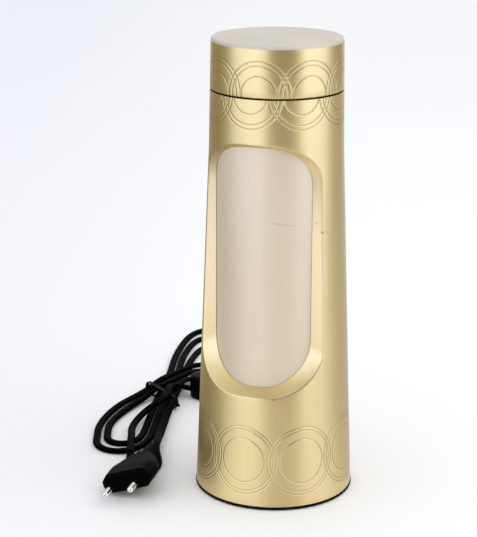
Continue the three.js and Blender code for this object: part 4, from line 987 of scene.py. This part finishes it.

# Turn from the camera's side in degrees, then the tone that the screen and its foot glow with there,
# which paints the room's reflections in the gleaming metal
room_steps = [
    (-180, (0.50, 0.50, 0.50)), (-156, (0.38, 0.37, 0.36)), (-148, (0.19, 0.165, 0.12)),
    (-107, (0.20, 0.175, 0.13)), (-88, (0.34, 0.34, 0.33)), (-74, (0.90, 1.00, 1.30)),
    (-22, (0.95, 1.06, 1.42)), (-15, (0.30, 0.29, 0.26)), (-8, (0.03, 0.01, 0.0)),
    (30, (0.03, 0.01, 0.0)), (38, (0.38, 0.37, 0.34)), (45, (0.95, 1.07, 1.45)),
    (87, (0.93, 1.04, 1.40)), (101, (0.42, 0.42, 0.40)), (113, (0.22, 0.195, 0.14)),
    (142, (0.21, 0.185, 0.13)), (152, (0.45, 0.45, 0.45)),
]
foot_steps = [
    (-180, (0.45, 0.45, 0.45)), (-160, (0.22, 0.21, 0.19)), (-122, (0.16, 0.15, 0.12)),
    (-96, (0.20, 0.19, 0.16)), (-78, (0.29, 0.28, 0.25)), (-60, (0.45, 0.45, 0.45)),
    (-42, (0.58, 0.60, 0.62)), (-15, (0.56, 0.57, 0.58)), (8, (0.48, 0.48, 0.48)),
    (26, (0.49, 0.49, 0.49)), (46, (0.56, 0.58, 0.60)), (72, (0.50, 0.51, 0.52)),
    (96, (0.38, 0.38, 0.37)), (140, (0.33, 0.33, 0.33)), (160, (0.42, 0.42, 0.42)),
]
camera_side = 17.3
screen_radius, screen_height = 1.3, 1.6
screen_foot_radius, screen_foot_height = 0.055, 0.0012
screen = turned([(screen_foot_radius, screen_foot_height), (screen_radius, screen_foot_height),
                 (screen_radius, screen_height)], 120)
tones = Finish("room_tones", (0, 0, 0), 1.0, Specular_IOR_Level=0.0, Emission_Strength=2.0)
share = tones.x.math("ARCTAN2", tones.y * -1) / math.tau + 0.5
wall_tone, foot_tone = (tones.node("ValToRGB", {"stops": sorted(
    (((turn + camera_side + 180) % 360) / 360, tone) for turn, tone in steps)}, {"Fac": share})
    for steps in (room_steps, foot_steps))
tones.feed("Emission Color", tones.blend(tones.z.ease(0.001, 0.05), foot_tone, wall_tone))
room_screen = shown("room_screen", screen, tones)
room_screen.visible_camera = False
room_screen.visible_diffuse = False
room_screen.visible_shadow = False
room_screen.visible_transmission = False

scene.world = bpy.data.worlds.new("room")
scene.world.use_nodes = True
sky = scene.world.node_tree.nodes["Background"]
sky.inputs["Color"].default_value = (0.975, 0.985, 1.0, 1)
sky.inputs["Strength"].default_value = 0.985
soft_box = bpy.data.lights.new("soft_box", "AREA")
soft_box.shape = "RECTANGLE"
soft_box.size, soft_box.size_y = 1.6, 1.6
soft_box.energy = 8
soft_box.color = (1.0, 0.995, 0.985)
box_light = bpy.data.objects.new("soft_box", soft_box)
box_place = Vector((1.3, -0.2, 1.6))
box_light.location = box_place
box_light.rotation_euler = (-box_place).to_track_quat("-Z", "Y").to_euler()
scene.collection.objects.link(box_light)
